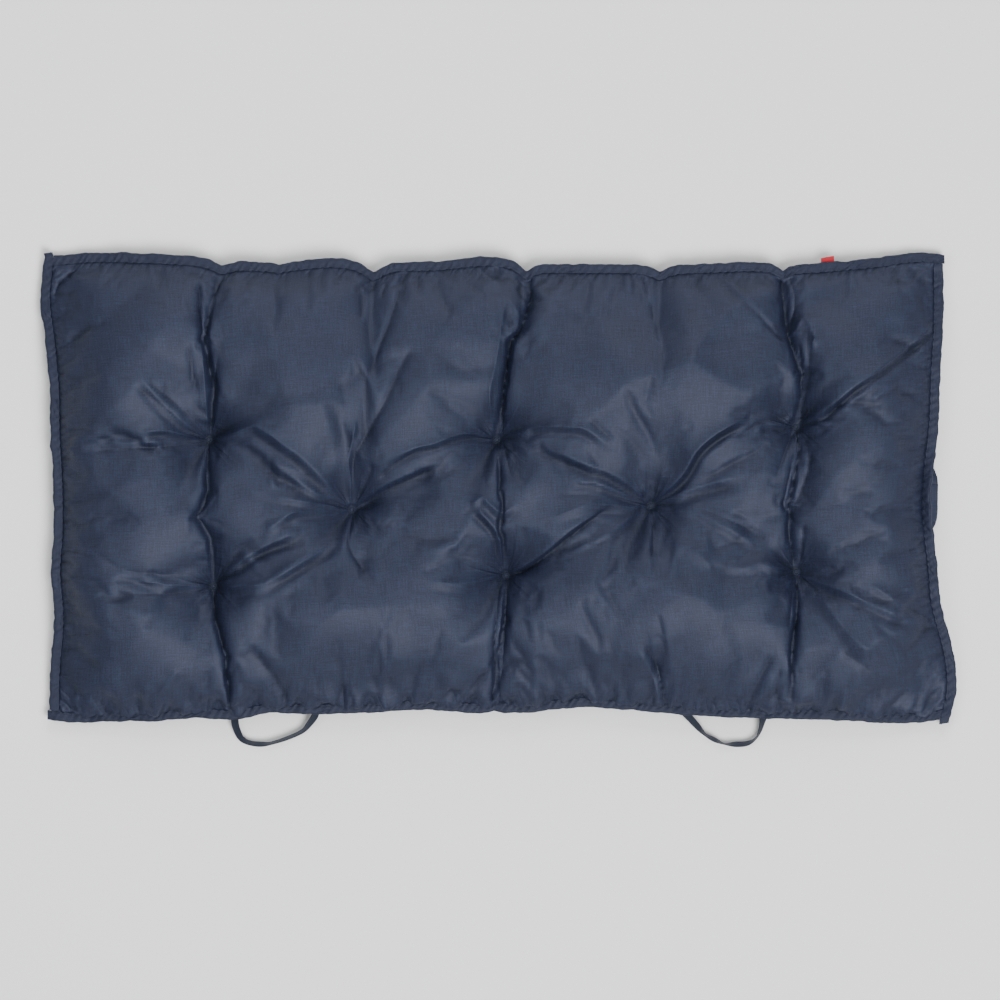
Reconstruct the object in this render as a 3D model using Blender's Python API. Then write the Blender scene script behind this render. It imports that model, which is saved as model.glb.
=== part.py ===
"""Pallet cushion: a limp filled cushion with eight tufts, its rim bound with folded tape.

Metres, +Z up. The cushion lies on its back with its long side along X. The two strap loops hang
from the front rim, at -Y. The origin is the middle of the whole piece, on the surface it lies on.
Tables of places are in millimetres.
"""

import math
from collections import namedtuple

import bpy
import numpy as np

MM = 0.001

# Driving dimensions
TAPE_WIDTH = 0.0125         # binding, from its inner edge to its folded outer edge
TAPE_THICK = 0.0010
TAPE_SLACK = 0.0006         # room between the tape and the rim that it wraps
FOLD_ROOM = 0.0018          # room between the cover's raw edge and the tape's fold
LIP_ROOM = 0.0014           # the tape's inner edge stops this far from the swelling cover
RIM_HALF = 0.0008           # half the thickness of the two covers sewn together
SEAM_HEIGHT = 0.026         # middle of the rim above the surface
CORNER_HEIGHT = 0.013       # the rim hangs lower at the corners
CORNER_REACH = (0.02, 0.17)
CROWN = 0.064               # top of the filling above the rim
BELLY = 0.052               # how far the underside would hang below the rim
CROWN_RUN = 0.118           # inward run over which the top rises
BELLY_RUN = 0.070
PUFF = 0.003                # quick swell of the cover beside the tape
PUFF_RUN = 0.004
GAP = 0.0003                # between neighbouring pieces
WIDTH, DEPTH = 1.172, 0.602   # mean distance between opposite rims
TUFT_SEAT = 0.010           # radius of the flat spot under a tuft ring
TUFT_BASE_LIFT = 0.013      # underside seat above the surface
STRAP_WIDTH, STRAP_THICK = 0.010, 0.0012
LABEL_WIDTH, LABEL_THICK = 0.017, 0.0010
LABEL_MIDDLE = 0.428        # where it stands along the back rim
LABEL_REACH = 0.0070        # how far it shows past the rim
LABEL_TUCK = 0.006          # how far it goes under the tape
ROW_STEP = 0.0055           # between rows of points of the dense cover grid
CHANNEL_STEP = 0.0034       # the same within CHANNEL_BAND of a channel
CHANNEL_BAND = 0.028
BODY_TRIANGLES = 9600
SEAT_KEPT = 0.014           # the cover keeps all its points this close to a tuft
CURL_KEPT = 0.545           # and on the curled rim, to the right of this x
SETTLED = 0.0004            # points of the underside lower than this lie on the surface

# The four corners of the bound rim
Place = namedtuple("Place", "x y")
FRONT_LEFT = Place(-585, -286)
FRONT_RIGHT = Place(587, -284)
BACK_LEFT = Place(-591.5, 316)
BACK_RIGHT = Place(578.8, 320)

# Rim outline between the corners, and the short dents where a fold runs out over it
BACK = [Place(-562, 319.5), Place(-525, 322.0), Place(-466, 320.8), Place(-400, 317.5), Place(-330, 311),
        Place(-286, 309), Place(-219, 314.5), Place(-150, 311), Place(-89, 310), Place(-11, 316.3),
        Place(60, 308), Place(150, 306.8), Place(260, 307), Place(327, 309.4), Place(395, 307),
        Place(440, 310), Place(496, 316), Place(540, 322.0), Place(560, 322.2)]
FRONT = [Place(-562, -289.3), Place(-505, -288.4), Place(-440, -287.3), Place(-396, -283.6),
         Place(-346, -285.6), Place(-300, -278), Place(-240, -278.5), Place(-183, -277.2),
         Place(-88, -273), Place(-37, -276.9), Place(28, -277), Place(110, -269.6), Place(184, -274.3),
         Place(233, -279.1), Place(322, -283.4), Place(431, -286), Place(540, -289.9), Place(569, -287)]
LEFT = [Place(-584.4, -262), Place(-584.2, -234), Place(-577.9, -149), Place(-581.8, -88),
        Place(-579.2, -52), Place(-579.2, 26), Place(-582.5, 83), Place(-583.6, 143),
        Place(-588.6, 198), Place(-596.2, 269), Place(-593.5, 297)]
RIGHT = [Place(592.5, -266), Place(596.0, -224), Place(588, -182), Place(576.2, -140), Place(570.5, -85),
         Place(566, -45), Place(563.5, 0), Place(566.5, 45), Place(572.1, 99), Place(574.7, 165),
         Place(578.8, 231), Place(579.2, 290)]

Dent = namedtuple("Dent", "along inward width")
BACK_DENTS = [Dent(-359, 8.0, 16), Dent(-286, 2.5, 9), Dent(-162, 15.0, 17), Dent(37, 13.0, 12),
              Dent(210, 9.0, 15), Dent(370, 9.5, 10)]
FRONT_DENTS = [Dent(-6, 3.0, 9), Dent(-290, 1.5, 10)]

# The right rim curls up over this stretch, and the lower cover swells out under it
CURL_MIDDLE, CURL_SPREAD = 2 * MM, 52 * MM
CURL_ANGLE = math.radians(36)
SWELL = 0.029
SWELL_PEAK = 0.008          # how far inside the seam the swell is greatest

# Tufts: where the thread pulls the cover down, and the side on which the cover rises steeply
Tuft = namedtuple("Tuft", "x y steep_side steepness")
TUFTS = [Tuft(-376, 78, -35, 0.45), Tuft(-2, 78, -50, 0.40), Tuft(387, 95, -20, 0.35),
         Tuft(-190, -13, -55, 0.55), Tuft(198, -8, -50, 0.45), Tuft(-370, -112, -20, 0.50),
         Tuft(10, -98, -50, 0.45), Tuft(387, -94, -150, 0.50)]
TUFT_PULL = 0.034           # mean reach of a tuft's dip
TUFT_FREE = 0.8             # the underside lies flat where the dips leave more than this

# Channels: deep folds that run from rim to rim through the tufts. share is how much of the
# crown's height the fold takes away at that point.
Channel = namedtuple("Channel", "x y share")
CHANNELS = [
    [Channel(-359, 304, 0.70), Channel(-370, 262, 0.60), Channel(-380, 208, 0.42), Channel(-370, 143, 0.55),
     Channel(-376, 78, 0.75), Channel(-377, 13, 0.62), Channel(-389, -22, 0.34), Channel(-374, -52, 0.55),
     Channel(-370, -112, 0.75), Channel(-367, -156, 0.60), Channel(-354, -202, 0.45), Channel(-348, -277, 0.60)],
    [Channel(37, 296, 0.78), Channel(42, 260, 0.66), Channel(28, 218, 0.55), Channel(15, 202, 0.50),
     Channel(7, 143, 0.60), Channel(-2, 78, 0.72), Channel(1, 26, 0.25), Channel(3, -39, 0.22),
     Channel(10, -98, 0.72), Channel(7, -156, 0.68), Channel(-1, -202, 0.60), Channel(-6, -274, 0.66)],
    [Channel(370, 298, 0.80), Channel(375, 214, 0.66), Channel(393, 162, 0.60), Channel(387, 95, 0.78),
     Channel(388, 52, 0.66), Channel(376, -6, 0.50), Channel(379, -52, 0.52), Channel(387, -94, 0.76),
     Channel(385, -150, 0.60), Channel(379, -214, 0.40), Channel(378, -250, 0.20)],
]
CHANNEL_SHARP, CHANNEL_SOFT = 0.010, 0.038

# Slacks: shallow troughs that the stuffing leaves between neighbouring tufts
Slack = namedtuple("Slack", "x0 y0 x1 y1 share")
SLACKS = [Slack(-376, 78, -190, -13, 0.24), Slack(-190, -13, -2, 78, 0.26), Slack(-370, -112, -190, -13, 0.22),
          Slack(-190, -13, 10, -98, 0.16), Slack(-2, 78, 198, -8, 0.24), Slack(10, -98, 198, -8, 0.30),
          Slack(198, -8, 387, 95, 0.30), Slack(198, -8, 387, -94, 0.24), Slack(-580, 75, -376, 78, 0.16),
          Slack(-580, -110, -370, -112, 0.14), Slack(387, 95, 572, 150, 0.16), Slack(387, -94, 572, -150, 0.16),
          Slack(-190, -13, -160, 295, 0.20), Slack(198, -8, 212, 296, 0.10)]
SLACK_WIDTH = 0.030

# Folds: creases that stand from the cover (rise > 0) or sink into it (rise < 0), each a bow from
# its start through its middle to its end. steep and gentle are its widths on the right-hand and
# left-hand side, walking from start to end.
Fold = namedtuple("Fold", "x0 y0 xm ym x1 y1 rise gentle steep")
FOLDS = [
    Fold(-297, 82, -232, 29, -190, -13, 5.5, 12, 9),
    Fold(-365, -104, -323, -65, -258, -39, 5.5, 12, 8),
    Fold(-370, -112, -297, -112, -218, -49, 7.0, 14, 8),
    Fold(-300, -36, -262, -8, -190, -13, 7.0, 16, 8),
    Fold(-460, 155, -414, 104, -376, 78, 6.5, 12, 9),
    Fold(-499, 66, -440, 84, -376, 78, 5.5, 14, 9),
    Fold(-466, -107, -414, -112, -370, -112, 5.0, 12, 9),
    Fold(-129, 276, -146, 214, -189, 78, -8.5, 9, 8),
    Fold(-114, 195, -148, 120, -188, 6, -10.5, 15, 12),
    Fold(-190, -13, -138, 21, -80, 47, 10.5, 18, 7),
    Fold(-154, 29, -89, 76, -2, 78, 7.5, 13, 8),
    Fold(-2, 78, 60, 99, 145, 72, 7.0, 12, 9),
    Fold(68, 65, 132, 39, 198, -8, 6.5, 11, 10),
    Fold(63, -21, 119, -3, 198, -8, 7.0, 12, 8),
    Fold(10, -98, 73, -62, 138, -10, 11.0, 16, 7),
    Fold(10, -98, -37, -109, -95, -107, 5.0, 12, 9),
    Fold(-37, -8, -19, 18, 2, -16, 7.0, 9, 8),
    Fold(-31, -13, 4, -48, 10, -98, 5.5, 9, 9),
    Fold(198, -8, 249, 55, 307, 98, 11.0, 15, 7),
    Fold(307, 98, 346, 106, 387, 95, 8.5, 12, 7),
    Fold(198, -8, 249, 16, 318, 29, 8.5, 14, 7),
    Fold(240, -6, 294, -24, 352, -62, 5.0, 11, 9),
    Fold(288, -88, 340, -76, 387, -94, 5.5, 12, 8),
    Fold(387, 95, 460, 136, 567, 228, 11.0, 17, 8),
    Fold(387, -94, 460, -115, 545, -160, 6.5, 13, 10),
    Fold(402, -105, 457, -176, 502, -208, 6.5, 15, 12),
    Fold(400, 214, 406, 156, 389, 98, -10.0, 7, 7),
    Fold(378, 212, 398, 252, 410, 195, 7.0, 8, 8),
    Fold(382, 58, 364, 8, 391, -36, -10.0, 8, 7),
    Fold(-388, 283, -387, 240, -381, 196, -7.0, 7, 6),
    Fold(-202, -226, -203, -250, -198, -270, -5.5, 8, 7),
    Fold(185, -182, 210, -221, 219, -268, -7.0, 9, 8),
    Fold(356, -192, 331, -234, 324, -270, -6.5, 8, 7),
    Fold(50, -226, 59, -247, 66, -266, -5.0, 8, 7),
    Fold(185, 303, 188, 283, 195, 255, -5.5, 9, 8),
]
FOLD_STEPS = 12
TROUGH = 0.4

# Strap loops: the middle of the strap along its way, its height and how far it leans over
Bend = namedtuple("Bend", "x y z lean")
STRAP_LEFT = [Bend(-342.5, -279.5, 19.6, 6), Bend(-343, -289, 14.0, 14), Bend(-340.5, -300, 8.6, 24),
              Bend(-334.5, -311, 6.2, 42), Bend(-324, -316.4, 5.8, 52), Bend(-310, -318.1, 5.8, 50),
              Bend(-296, -316.6, 6.3, 66), Bend(-276, -310.4, 6.3, 62), Bend(-256, -301.4, 6.8, 60),
              Bend(-246, -291, 10.6, 44), Bend(-239.5, -281.5, 17.4, 26), Bend(-237, -273.5, 20.8, 8)]
STRAP_RIGHT = [Bend(243, -277, 19.8, 8), Bend(250, -284.5, 16.0, 26), Bend(259.5, -295, 9.6, 40),
               Bend(269, -305.2, 6.6, 70), Bend(281, -312, 6.2, 56), Bend(294, -317.6, 6.4, 80),
               Bend(309, -318.2, 5.6, 48), Bend(324, -317, 5.6, 52), Bend(335, -310.5, 6.4, 76),
               Bend(340.5, -300, 8.4, 62), Bend(343, -290, 14.6, 46), Bend(344.6, -281, 19.4, 10)]
STRAP_SAMPLES = 30

NAVY = (0.043, 0.058, 0.093, 1.0)
NAVY_TAPE = (0.036, 0.049, 0.080, 1.0)
THREAD = (0.050, 0.064, 0.098, 1.0)
RED = (0.55, 0.025, 0.045, 1.0)


def clear_scene():
    for thing in list(bpy.data.objects):
        bpy.data.objects.remove(thing, do_unlink=True)


def cloth_material(name, colour, roughness):
    material = bpy.data.materials.new(name)
    material.use_nodes = True
    shader = material.node_tree.nodes["Principled BSDF"]
    shader.inputs["Base Color"].default_value = colour
    shader.inputs["Roughness"].default_value = roughness
    shader.inputs["Metallic"].default_value = 0.0
    return material


def smooth(knots, values, at):
    """Cubic curve through (knots, values), its slope at a knot taken from the knots beside it."""
    knots, values = np.asarray(knots, float), np.asarray(values, float)
    slopes = np.gradient(values, knots)
    i = np.clip(np.searchsorted(knots, at) - 1, 0, len(knots) - 2)
    step = knots[i + 1] - knots[i]
    t = (at - knots[i]) / step
    return ((1 + 2 * t) * (1 - t) ** 2 * values[i] + t * (1 - t) ** 2 * step * slopes[i]
            + t * t * (3 - 2 * t) * values[i + 1] + t * t * (t - 1) * step * slopes[i + 1])


def ease(value, low, high):
    t = np.clip((value - low) / (high - low), 0, 1)
    return t * t * (3 - 2 * t)


def long_side(t, start, rows, end, dents, inward):
    """Points of the front or back rim for t from 0 (left) to 1 (right)."""
    x = start.x + (end.x - start.x) * t
    table = [start, *rows, end]
    y = smooth([p.x for p in table], [p.y for p in table], x)
    for dent in dents:
        y = y + inward * dent.inward * np.exp(-np.abs((x - dent.along) / dent.width) ** 1.4)
    return np.stack([x, y], -1) * MM


def short_side(t, start, rows, end):
    """Points of the left or right rim for t from 0 (front) to 1 (back)."""
    y = start.y + (end.y - start.y) * t
    table = [start, *rows, end]
    x = smooth([p.y for p in table], [p.x for p in table], y)
    return np.stack([x, y], -1) * MM


def plan(u, v):
    """Plan position: the four rims blended across the cushion, u from left to right, v front to back."""
    front = long_side(u, FRONT_LEFT, FRONT, FRONT_RIGHT, FRONT_DENTS, 1)
    back = long_side(u, BACK_LEFT, BACK, BACK_RIGHT, BACK_DENTS, -1)
    left = short_side(v, FRONT_LEFT, LEFT, BACK_LEFT)
    right = short_side(v, FRONT_RIGHT, RIGHT, BACK_RIGHT)
    u, v = u[..., None], v[..., None]
    corners = ((1 - u) * (1 - v) * np.array(FRONT_LEFT) + u * (1 - v) * np.array(FRONT_RIGHT)
               + (1 - u) * v * np.array(BACK_LEFT) + u * v * np.array(BACK_RIGHT)) * MM
    return (1 - v) * front + v * back + (1 - u) * left + u * right - corners


def seam_height(u, v):
    """Height of the rim's middle plane: lower towards the four corners."""
    along_x = ease(np.minimum(u, 1 - u) * WIDTH, *CORNER_REACH)
    along_y = ease(np.minimum(v, 1 - v) * DEPTH, *CORNER_REACH)
    return CORNER_HEIGHT + (SEAM_HEIGHT - CORNER_HEIGHT) * (1 - (1 - along_x) * (1 - along_y))


def side_distances(u, v):
    """Distance of a point inward from the inner edge of the tape on each of the four sides."""
    return [u * WIDTH - TAPE_WIDTH, (1 - u) * WIDTH - TAPE_WIDTH,
            v * DEPTH - TAPE_WIDTH, (1 - v) * DEPTH - TAPE_WIDTH]


def swell_in(distances, run):
    """0 at the tape and 1 well inside: 1 - (1 - d / run)^2.2 for each side, multiplied together."""
    share = 1.0
    for distance in distances:
        share = share * (1 - (1 - np.clip(distance / run, 0, 1)) ** 2.2)
    return share


def nearest_on_path(x, y, path):
    """Distance to a path of points, the signed side, and the place along it from 0 to 1."""
    best = np.full(x.shape, 1e9)
    side, place = np.zeros(x.shape), np.zeros(x.shape)
    for i in range(len(path) - 1):
        (ax, ay), (bx, by) = path[i], path[i + 1]
        dx, dy = bx - ax, by - ay
        t = np.clip(((x - ax) * dx + (y - ay) * dy) / (dx * dx + dy * dy), 0, 1)
        off_x, off_y = x - ax - t * dx, y - ay - t * dy
        distance = np.hypot(off_x, off_y)
        nearer = distance < best
        best = np.where(nearer, distance, best)
        side = np.where(nearer, np.sign(dx * off_y - dy * off_x), side)
        place = np.where(nearer, (i + t) / (len(path) - 1), place)
    return best, side, place


def tuft_dips(x, y):
    """What the tufts leave of the crown: 1 - exp(-(r / reach)^0.85), the reach short on the steep side."""
    left_over = 1.0
    for tuft in TUFTS:
        dx, dy = x - tuft.x * MM, y - tuft.y * MM
        r = np.maximum(np.hypot(dx, dy) - TUFT_SEAT, 0)
        turn = np.arctan2(dy, dx) - math.radians(tuft.steep_side)
        reach = TUFT_PULL * (1 - tuft.steepness * np.cos(turn))
        left_over = left_over * (1 - np.exp(-(r / reach) ** 0.85))
    return left_over


def channel_dips(x, y):
    left_over = 1.0
    for channel in CHANNELS:
        path = [(p.x * MM, p.y * MM) for p in channel]
        distance, _, place = nearest_on_path(x, y, path)
        share = np.interp(place, np.linspace(0, 1, len(channel)), [p.share for p in channel])
        dip = (0.55 * np.exp(-(distance / CHANNEL_SHARP) ** 1.2)
               + 0.45 * np.exp(-(distance / CHANNEL_SOFT) ** 1.6))
        left_over = left_over * (1 - share * dip)
    return left_over


def slack_dips(x, y):
    left_over = 1.0
    for slack in SLACKS:
        path = [(slack.x0 * MM, slack.y0 * MM), (slack.x1 * MM, slack.y1 * MM)]
        distance, _, _ = nearest_on_path(x, y, path)
        left_over = left_over * (1 - slack.share * np.exp(-(distance / SLACK_WIDTH) ** 2))
    return left_over


def fold_relief(x, y):
    """Height of the creases: rise * exp(-(d / width)^1.5), dying away towards both ends.

    On its steep side each crease has a shallow trough of the other sign, TROUGH as deep.
    """
    height = np.zeros(x.shape)
    t = np.linspace(0, 1, FOLD_STEPS + 1)
    for fold in FOLDS:
        bow_x = 2 * fold.xm - (fold.x0 + fold.x1) / 2
        bow_y = 2 * fold.ym - (fold.y0 + fold.y1) / 2
        path_x = (1 - t) ** 2 * fold.x0 + 2 * t * (1 - t) * bow_x + t * t * fold.x1
        path_y = (1 - t) ** 2 * fold.y0 + 2 * t * (1 - t) * bow_y + t * t * fold.y1
        distance, side, place = nearest_on_path(x, y, list(zip(path_x * MM, path_y * MM)))
        width = np.where(side > 0, fold.gentle, fold.steep) * MM
        ends = ease(place, -0.12, 0.22) * ease(1 - place, -0.12, 0.30)
        beside = (distance - 1.9 * width) / (0.9 * width)
        trough = np.where(side > 0, 0.0, TROUGH * np.exp(-beside ** 2))
        height += fold.rise * MM * ends * (np.exp(-(distance / width) ** 1.5) - trough)
    return height


def curl_share(y):
    """How far the right rim curls up: 1 at the middle of the curled stretch, 0 away from it."""
    return np.exp(-((y - CURL_MIDDLE) / CURL_SPREAD) ** 4)


def rim_lines(length, channels=()):
    """Rows of points of the cover, as shares of its length: close together at the rim and the channels."""
    near = [TAPE_WIDTH - TAPE_THICK - FOLD_ROOM, 0.005, 0.0]
    inside = [0.0015, 0.003, 0.005, 0.008, 0.012, 0.017, 0.023, 0.030]
    rows = [TAPE_WIDTH - d for d in near] + [TAPE_WIDTH + d for d in inside]
    at = [rows[-1]]
    while length - rows[-1] - at[-1] > 1.4 * ROW_STEP:
        by_channel = any(abs(at[-1] - channel) < CHANNEL_BAND for channel in channels)
        at.append(at[-1] + (CHANNEL_STEP if by_channel else ROW_STEP))
    return np.concatenate([rows[:-1], at, length - np.array(rows[::-1])]) / length


def cover_points(u, v, top):
    """Points of the top or bottom cover. On the rim both lie on the seam's middle plane, half a rim apart."""
    xy = plan(u, v)
    x, y = xy[..., 0], xy[..., 1]
    seam = seam_height(u, v)
    distances = side_distances(u, v)
    inside = np.minimum.reduce(distances)
    puff = PUFF * (1 - np.exp(-np.maximum(inside, 0) / PUFF_RUN))
    if top:
        crown = swell_in(distances, CROWN_RUN)
        left_over = tuft_dips(x, y) * channel_dips(x, y) * slack_dips(x, y)
        relief = fold_relief(x, y) * np.minimum(crown * 2.2, 1) * ease(tuft_dips(x, y), 0, 0.25)
        z = seam + RIM_HALF + puff * left_over + CROWN * crown * left_over + relief
    else:
        belly = swell_in(distances, BELLY_RUN)
        lift = TUFT_BASE_LIFT * (1 - tuft_dips(x, y) / TUFT_FREE)
        z = np.maximum(seam - RIM_HALF - puff - BELLY * belly, np.maximum(lift, 0))
    beyond = -distances[1]
    curl = CURL_ANGLE * curl_share(y)
    rim = beyond > 0
    dz = z - seam
    x_seam = x - np.maximum(beyond, 0)
    x_curled = x_seam + beyond * np.cos(curl) - dz * np.sin(curl)
    z_curled = seam + beyond * np.sin(curl) + dz * np.cos(curl)
    x, z = np.where(rim, x_curled, x), np.where(rim, z_curled, z)
    if not top:
        depth = distances[1]
        bulge = ease(depth, 0.002, SWELL_PEAK) * np.exp(-(np.maximum(depth - SWELL_PEAK, 0) / 0.014) ** 2)
        x = x + SWELL * curl_share(y) * bulge
    return np.stack([x, y, z], -1)


def add_object(name, vertices, faces, material, smooth_angle=40):
    mesh = bpy.data.meshes.new(name)
    mesh.from_pydata([tuple(p) for p in vertices], [], faces)
    mesh.materials.append(material)
    mesh.shade_smooth()
    mesh.set_sharp_from_angle(angle=math.radians(smooth_angle))
    thing = bpy.data.objects.new(name, mesh)
    bpy.context.scene.collection.objects.link(thing)
    return thing


def grid_faces(columns, rows, first, flip):
    faces = []
    for i in range(columns - 1):
        for j in range(rows - 1):
            a, b = first + i * rows + j, first + (i + 1) * rows + j
            quad = (a, b, b + 1, a + 1)
            faces.append(quad[::-1] if flip else quad)
    return faces


def cushion_body(material):
    """Top and bottom cover as two grids that meet in a narrow wall round the rim."""
    middles = [np.mean([p.x for p in channel]) * MM + WIDTH / 2 for channel in CHANNELS]
    u_lines, v_lines = rim_lines(WIDTH, middles), rim_lines(DEPTH)
    u, v = np.meshgrid(u_lines, v_lines, indexing="ij")
    columns, rows = u.shape
    size = columns * rows
    top, bottom = cover_points(u, v, True), cover_points(u, v, False)
    vertices = np.concatenate([top.reshape(-1, 3), bottom.reshape(-1, 3)])
    faces = grid_faces(columns, rows, 0, False) + grid_faces(columns, rows, size, True)
    ring = ([i * rows for i in range(columns)] + [(columns - 1) * rows + j for j in range(1, rows)]
            + [i * rows + rows - 1 for i in range(columns - 2, -1, -1)] + list(range(rows - 2, 0, -1)))
    for a, b in zip(ring, ring[1:] + ring[:1]):
        faces.append((a, a + size, b + size, b))
    body = add_object("cushion_body", vertices, faces, material, 60)
    points = np.concatenate([top.reshape(-1, 3), bottom.reshape(-1, 3)])
    near_tuft = np.zeros(len(points), bool)
    for tuft in TUFTS:
        near_tuft |= np.hypot(points[:, 0] - tuft.x * MM, points[:, 1] - tuft.y * MM) < SEAT_KEPT
    curled = (points[:, 0] > CURL_KEPT) & (curl_share(points[:, 1]) > 0.01)
    thin_out(body, np.nonzero(near_tuft | curled)[0], BODY_TRIANGLES / (2 * len(faces)))
    settle(body)
    return body


def thin_out(body, kept_points, ratio):
    """Merge points of the dense grid down to a share of its faces, but not the kept points."""
    kept = body.vertex_groups.new(name="kept_points")
    kept.add([int(i) for i in kept_points], 1.0, "REPLACE")
    thin = body.modifiers.new("fewer_faces", "DECIMATE")
    thin.decimate_type = "COLLAPSE"
    thin.vertex_group = "kept_points"
    thin.invert_vertex_group = True
    thin.ratio = ratio
    thinned = bpy.data.meshes.new_from_object(body.evaluated_get(bpy.context.evaluated_depsgraph_get()))
    body.modifiers.clear()
    body.vertex_groups.clear()
    body.data = thinned


def settle(body):
    """Bring every point that nearly touches the surface down onto it."""
    points = np.empty(len(body.data.vertices) * 3)
    body.data.vertices.foreach_get("co", points)
    heights = points[2::3]
    heights[heights < SETTLED] = 0.0
    body.data.vertices.foreach_set("co", points)
    body.data.update()


def loft(name, sections, material, smooth_angle=50):
    """A closed solid from a row of like cross-sections, with both ends capped."""
    stations, corners = sections.shape[:2]
    faces = []
    for i in range(stations - 1):
        for k in range(corners):
            a, b = i * corners + k, i * corners + (k + 1) % corners
            faces.append((a, b, b + corners, a + corners))
    faces.append(tuple(range(corners - 1, -1, -1)))
    faces.append(tuple(range((stations - 1) * corners, stations * corners)))
    return add_object(name, sections.reshape(-1, 3), faces, material, smooth_angle)


def tape_profile():
    """Folded tape as (outward, up) points: a flat U open towards the cushion."""
    inner, outer = LIP_ROOM, TAPE_WIDTH
    bay = RIM_HALF + TAPE_SLACK
    wall = bay + TAPE_THICK
    return [(inner, wall), (outer - 0.001, wall), (outer, 0.0), (outer - 0.001, -wall), (inner, -wall),
            (inner, -bay), (outer - TAPE_THICK, -bay), (outer - TAPE_THICK, bay), (inner, bay)]


# Each tape starts beside its neighbour and runs past the far corner by its ear
Tape = namedtuple("Tape", "name side ear_mm ear_x ear_y")
TAPES = [Tape("binding_left", "left", 5.0, -0.25, 1.0), Tape("binding_back", "back", 1.6, 1.0, -0.1),
         Tape("binding_right", "right", 6.0, -0.1, -1.0), Tape("binding_front", "front", 2.2, -1.0, 0.1)]
TAPE_STEP = 0.020                               # between rows of points along a tape
DENT_ROWS = (-1.5, -0.8, -0.3, 0.3, 0.8, 1.5)   # extra rows at a dent, in dent widths
CURL_ROWS = np.arange(-1.4, 1.41, 0.1)          # extra rows where the rim curls, in curl spreads


def extra_rows(side):
    """Places along a side, from 0 to 1, where the tape needs more rows of points."""
    if side == "front":
        spots = [d.along + d.width * k for d in FRONT_DENTS for k in DENT_ROWS]
        return (np.array(spots) - FRONT_LEFT.x) / (FRONT_RIGHT.x - FRONT_LEFT.x)
    if side == "back":
        spots = [d.along + d.width * k for d in BACK_DENTS for k in DENT_ROWS]
        return (np.array(spots) - BACK_LEFT.x) / (BACK_RIGHT.x - BACK_LEFT.x)
    if side == "right":
        spots = (CURL_MIDDLE + CURL_ROWS * CURL_SPREAD) / MM
        return (spots - FRONT_RIGHT.y) / (BACK_RIGHT.y - FRONT_RIGHT.y)
    return []


def tape_stations(side):
    """Outer edge, inner edge and height of the tape at rows along a side, in the way the tape runs."""
    lengthwise = side in ("front", "back")
    length, breadth = (WIDTH, DEPTH) if lengthwise else (DEPTH, WIDTH)
    backwards = side in ("right", "front")
    t = np.linspace((TAPE_WIDTH + GAP) / length, 1, round(length / TAPE_STEP))
    t = np.unique(np.concatenate([1 - t if backwards else t, extra_rows(side)]))
    close = 0.0022 if lengthwise else 0.006
    t = t[np.concatenate([[True], np.diff(t) > close])]
    t = t[::-1] if backwards else t
    edge = np.full(t.shape, 0.0 if side in ("front", "left") else 1.0)
    step_in = (TAPE_WIDTH / breadth) * (1 - 2 * edge)
    if lengthwise:
        return plan(t, edge), plan(t, edge + step_in), seam_height(t, edge)
    return plan(edge, t), plan(edge + step_in, t), seam_height(edge, t)


def binding(tape, material):
    outer, inner, heights = tape_stations(tape.side)
    ear = np.array([tape.ear_x, tape.ear_y])
    ear = ear / np.linalg.norm(ear) * tape.ear_mm * MM
    outer, inner = np.vstack([outer, outer[-1] + ear]), np.vstack([inner, inner[-1] + ear])
    heights = np.append(heights, heights[-1])
    outward = outer - inner
    outward /= np.linalg.norm(outward, axis=1)[:, None]
    curl = np.zeros(len(outer))
    if tape.side == "right":
        curl = CURL_ANGLE * curl_share(inner[:, 1])
    sections = []
    for across, up in tape_profile():
        reach = across * np.cos(curl) - up * np.sin(curl)
        rise = across * np.sin(curl) + up * np.cos(curl)
        sections.append(np.column_stack([inner + outward * reach[:, None], heights + rise]))
    return loft(tape.name, np.stack(sections[::-1], 1), material)


def strap_loop(name, bends, material):
    """Flat strap carried along its bends: width across the way, leaning by each bend's angle."""
    table = np.array(bends, float)
    places = np.linspace(0, 1, len(table))
    at = np.linspace(0, 1, STRAP_SAMPLES)
    x, y, z = (smooth(places, table[:, k], at) * MM for k in range(3))
    lean = np.radians(smooth(places, table[:, 3], at))
    way = np.gradient(np.column_stack([x, y]), axis=0)
    way /= np.linalg.norm(way, axis=1)[:, None]
    across = np.column_stack([-way[:, 1] * np.cos(lean), way[:, 0] * np.cos(lean), np.sin(lean)])
    normal = np.column_stack([way[:, 1] * np.sin(lean), -way[:, 0] * np.sin(lean), np.cos(lean)])
    middle = np.column_stack([x, y, z])
    half_width, half_thick = STRAP_WIDTH / 2, STRAP_THICK / 2
    corners = [(half_width, -half_thick), (half_width, half_thick), (-half_width, half_thick),
               (-half_width, -half_thick)]
    sections = np.stack([middle + across * w + normal * t for w, t in corners], 1)
    return loft(name, sections, material, 30)


def seam_label(material):
    """Small tab that sticks out from under the back tape, a little waved."""
    along = np.linspace(-0.5, 0.5, 7)
    x = LABEL_MIDDLE + LABEL_WIDTH * along
    u = (x / MM - BACK_LEFT.x) / (BACK_RIGHT.x - BACK_LEFT.x)
    rim = plan(u, np.ones(u.shape))
    under = seam_height(u, np.ones(u.shape)) - RIM_HALF - TAPE_SLACK - TAPE_THICK - GAP
    reach = LABEL_REACH + 0.0016 * along
    droop = 0.0008 * np.cos(along * 2 * math.pi) - 0.002
    level = np.zeros(x.shape)
    rows = [(level - LABEL_TUCK, level), (level, level), (reach, droop)]
    upper = [np.column_stack([x, rim[:, 1] + out, under + bend]) for out, bend in rows]
    lower = [row - (0, 0, LABEL_THICK) for row in upper]
    sections = np.stack(lower + upper[::-1], 1)
    return loft("seam_label", sections, material, 30)


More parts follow.
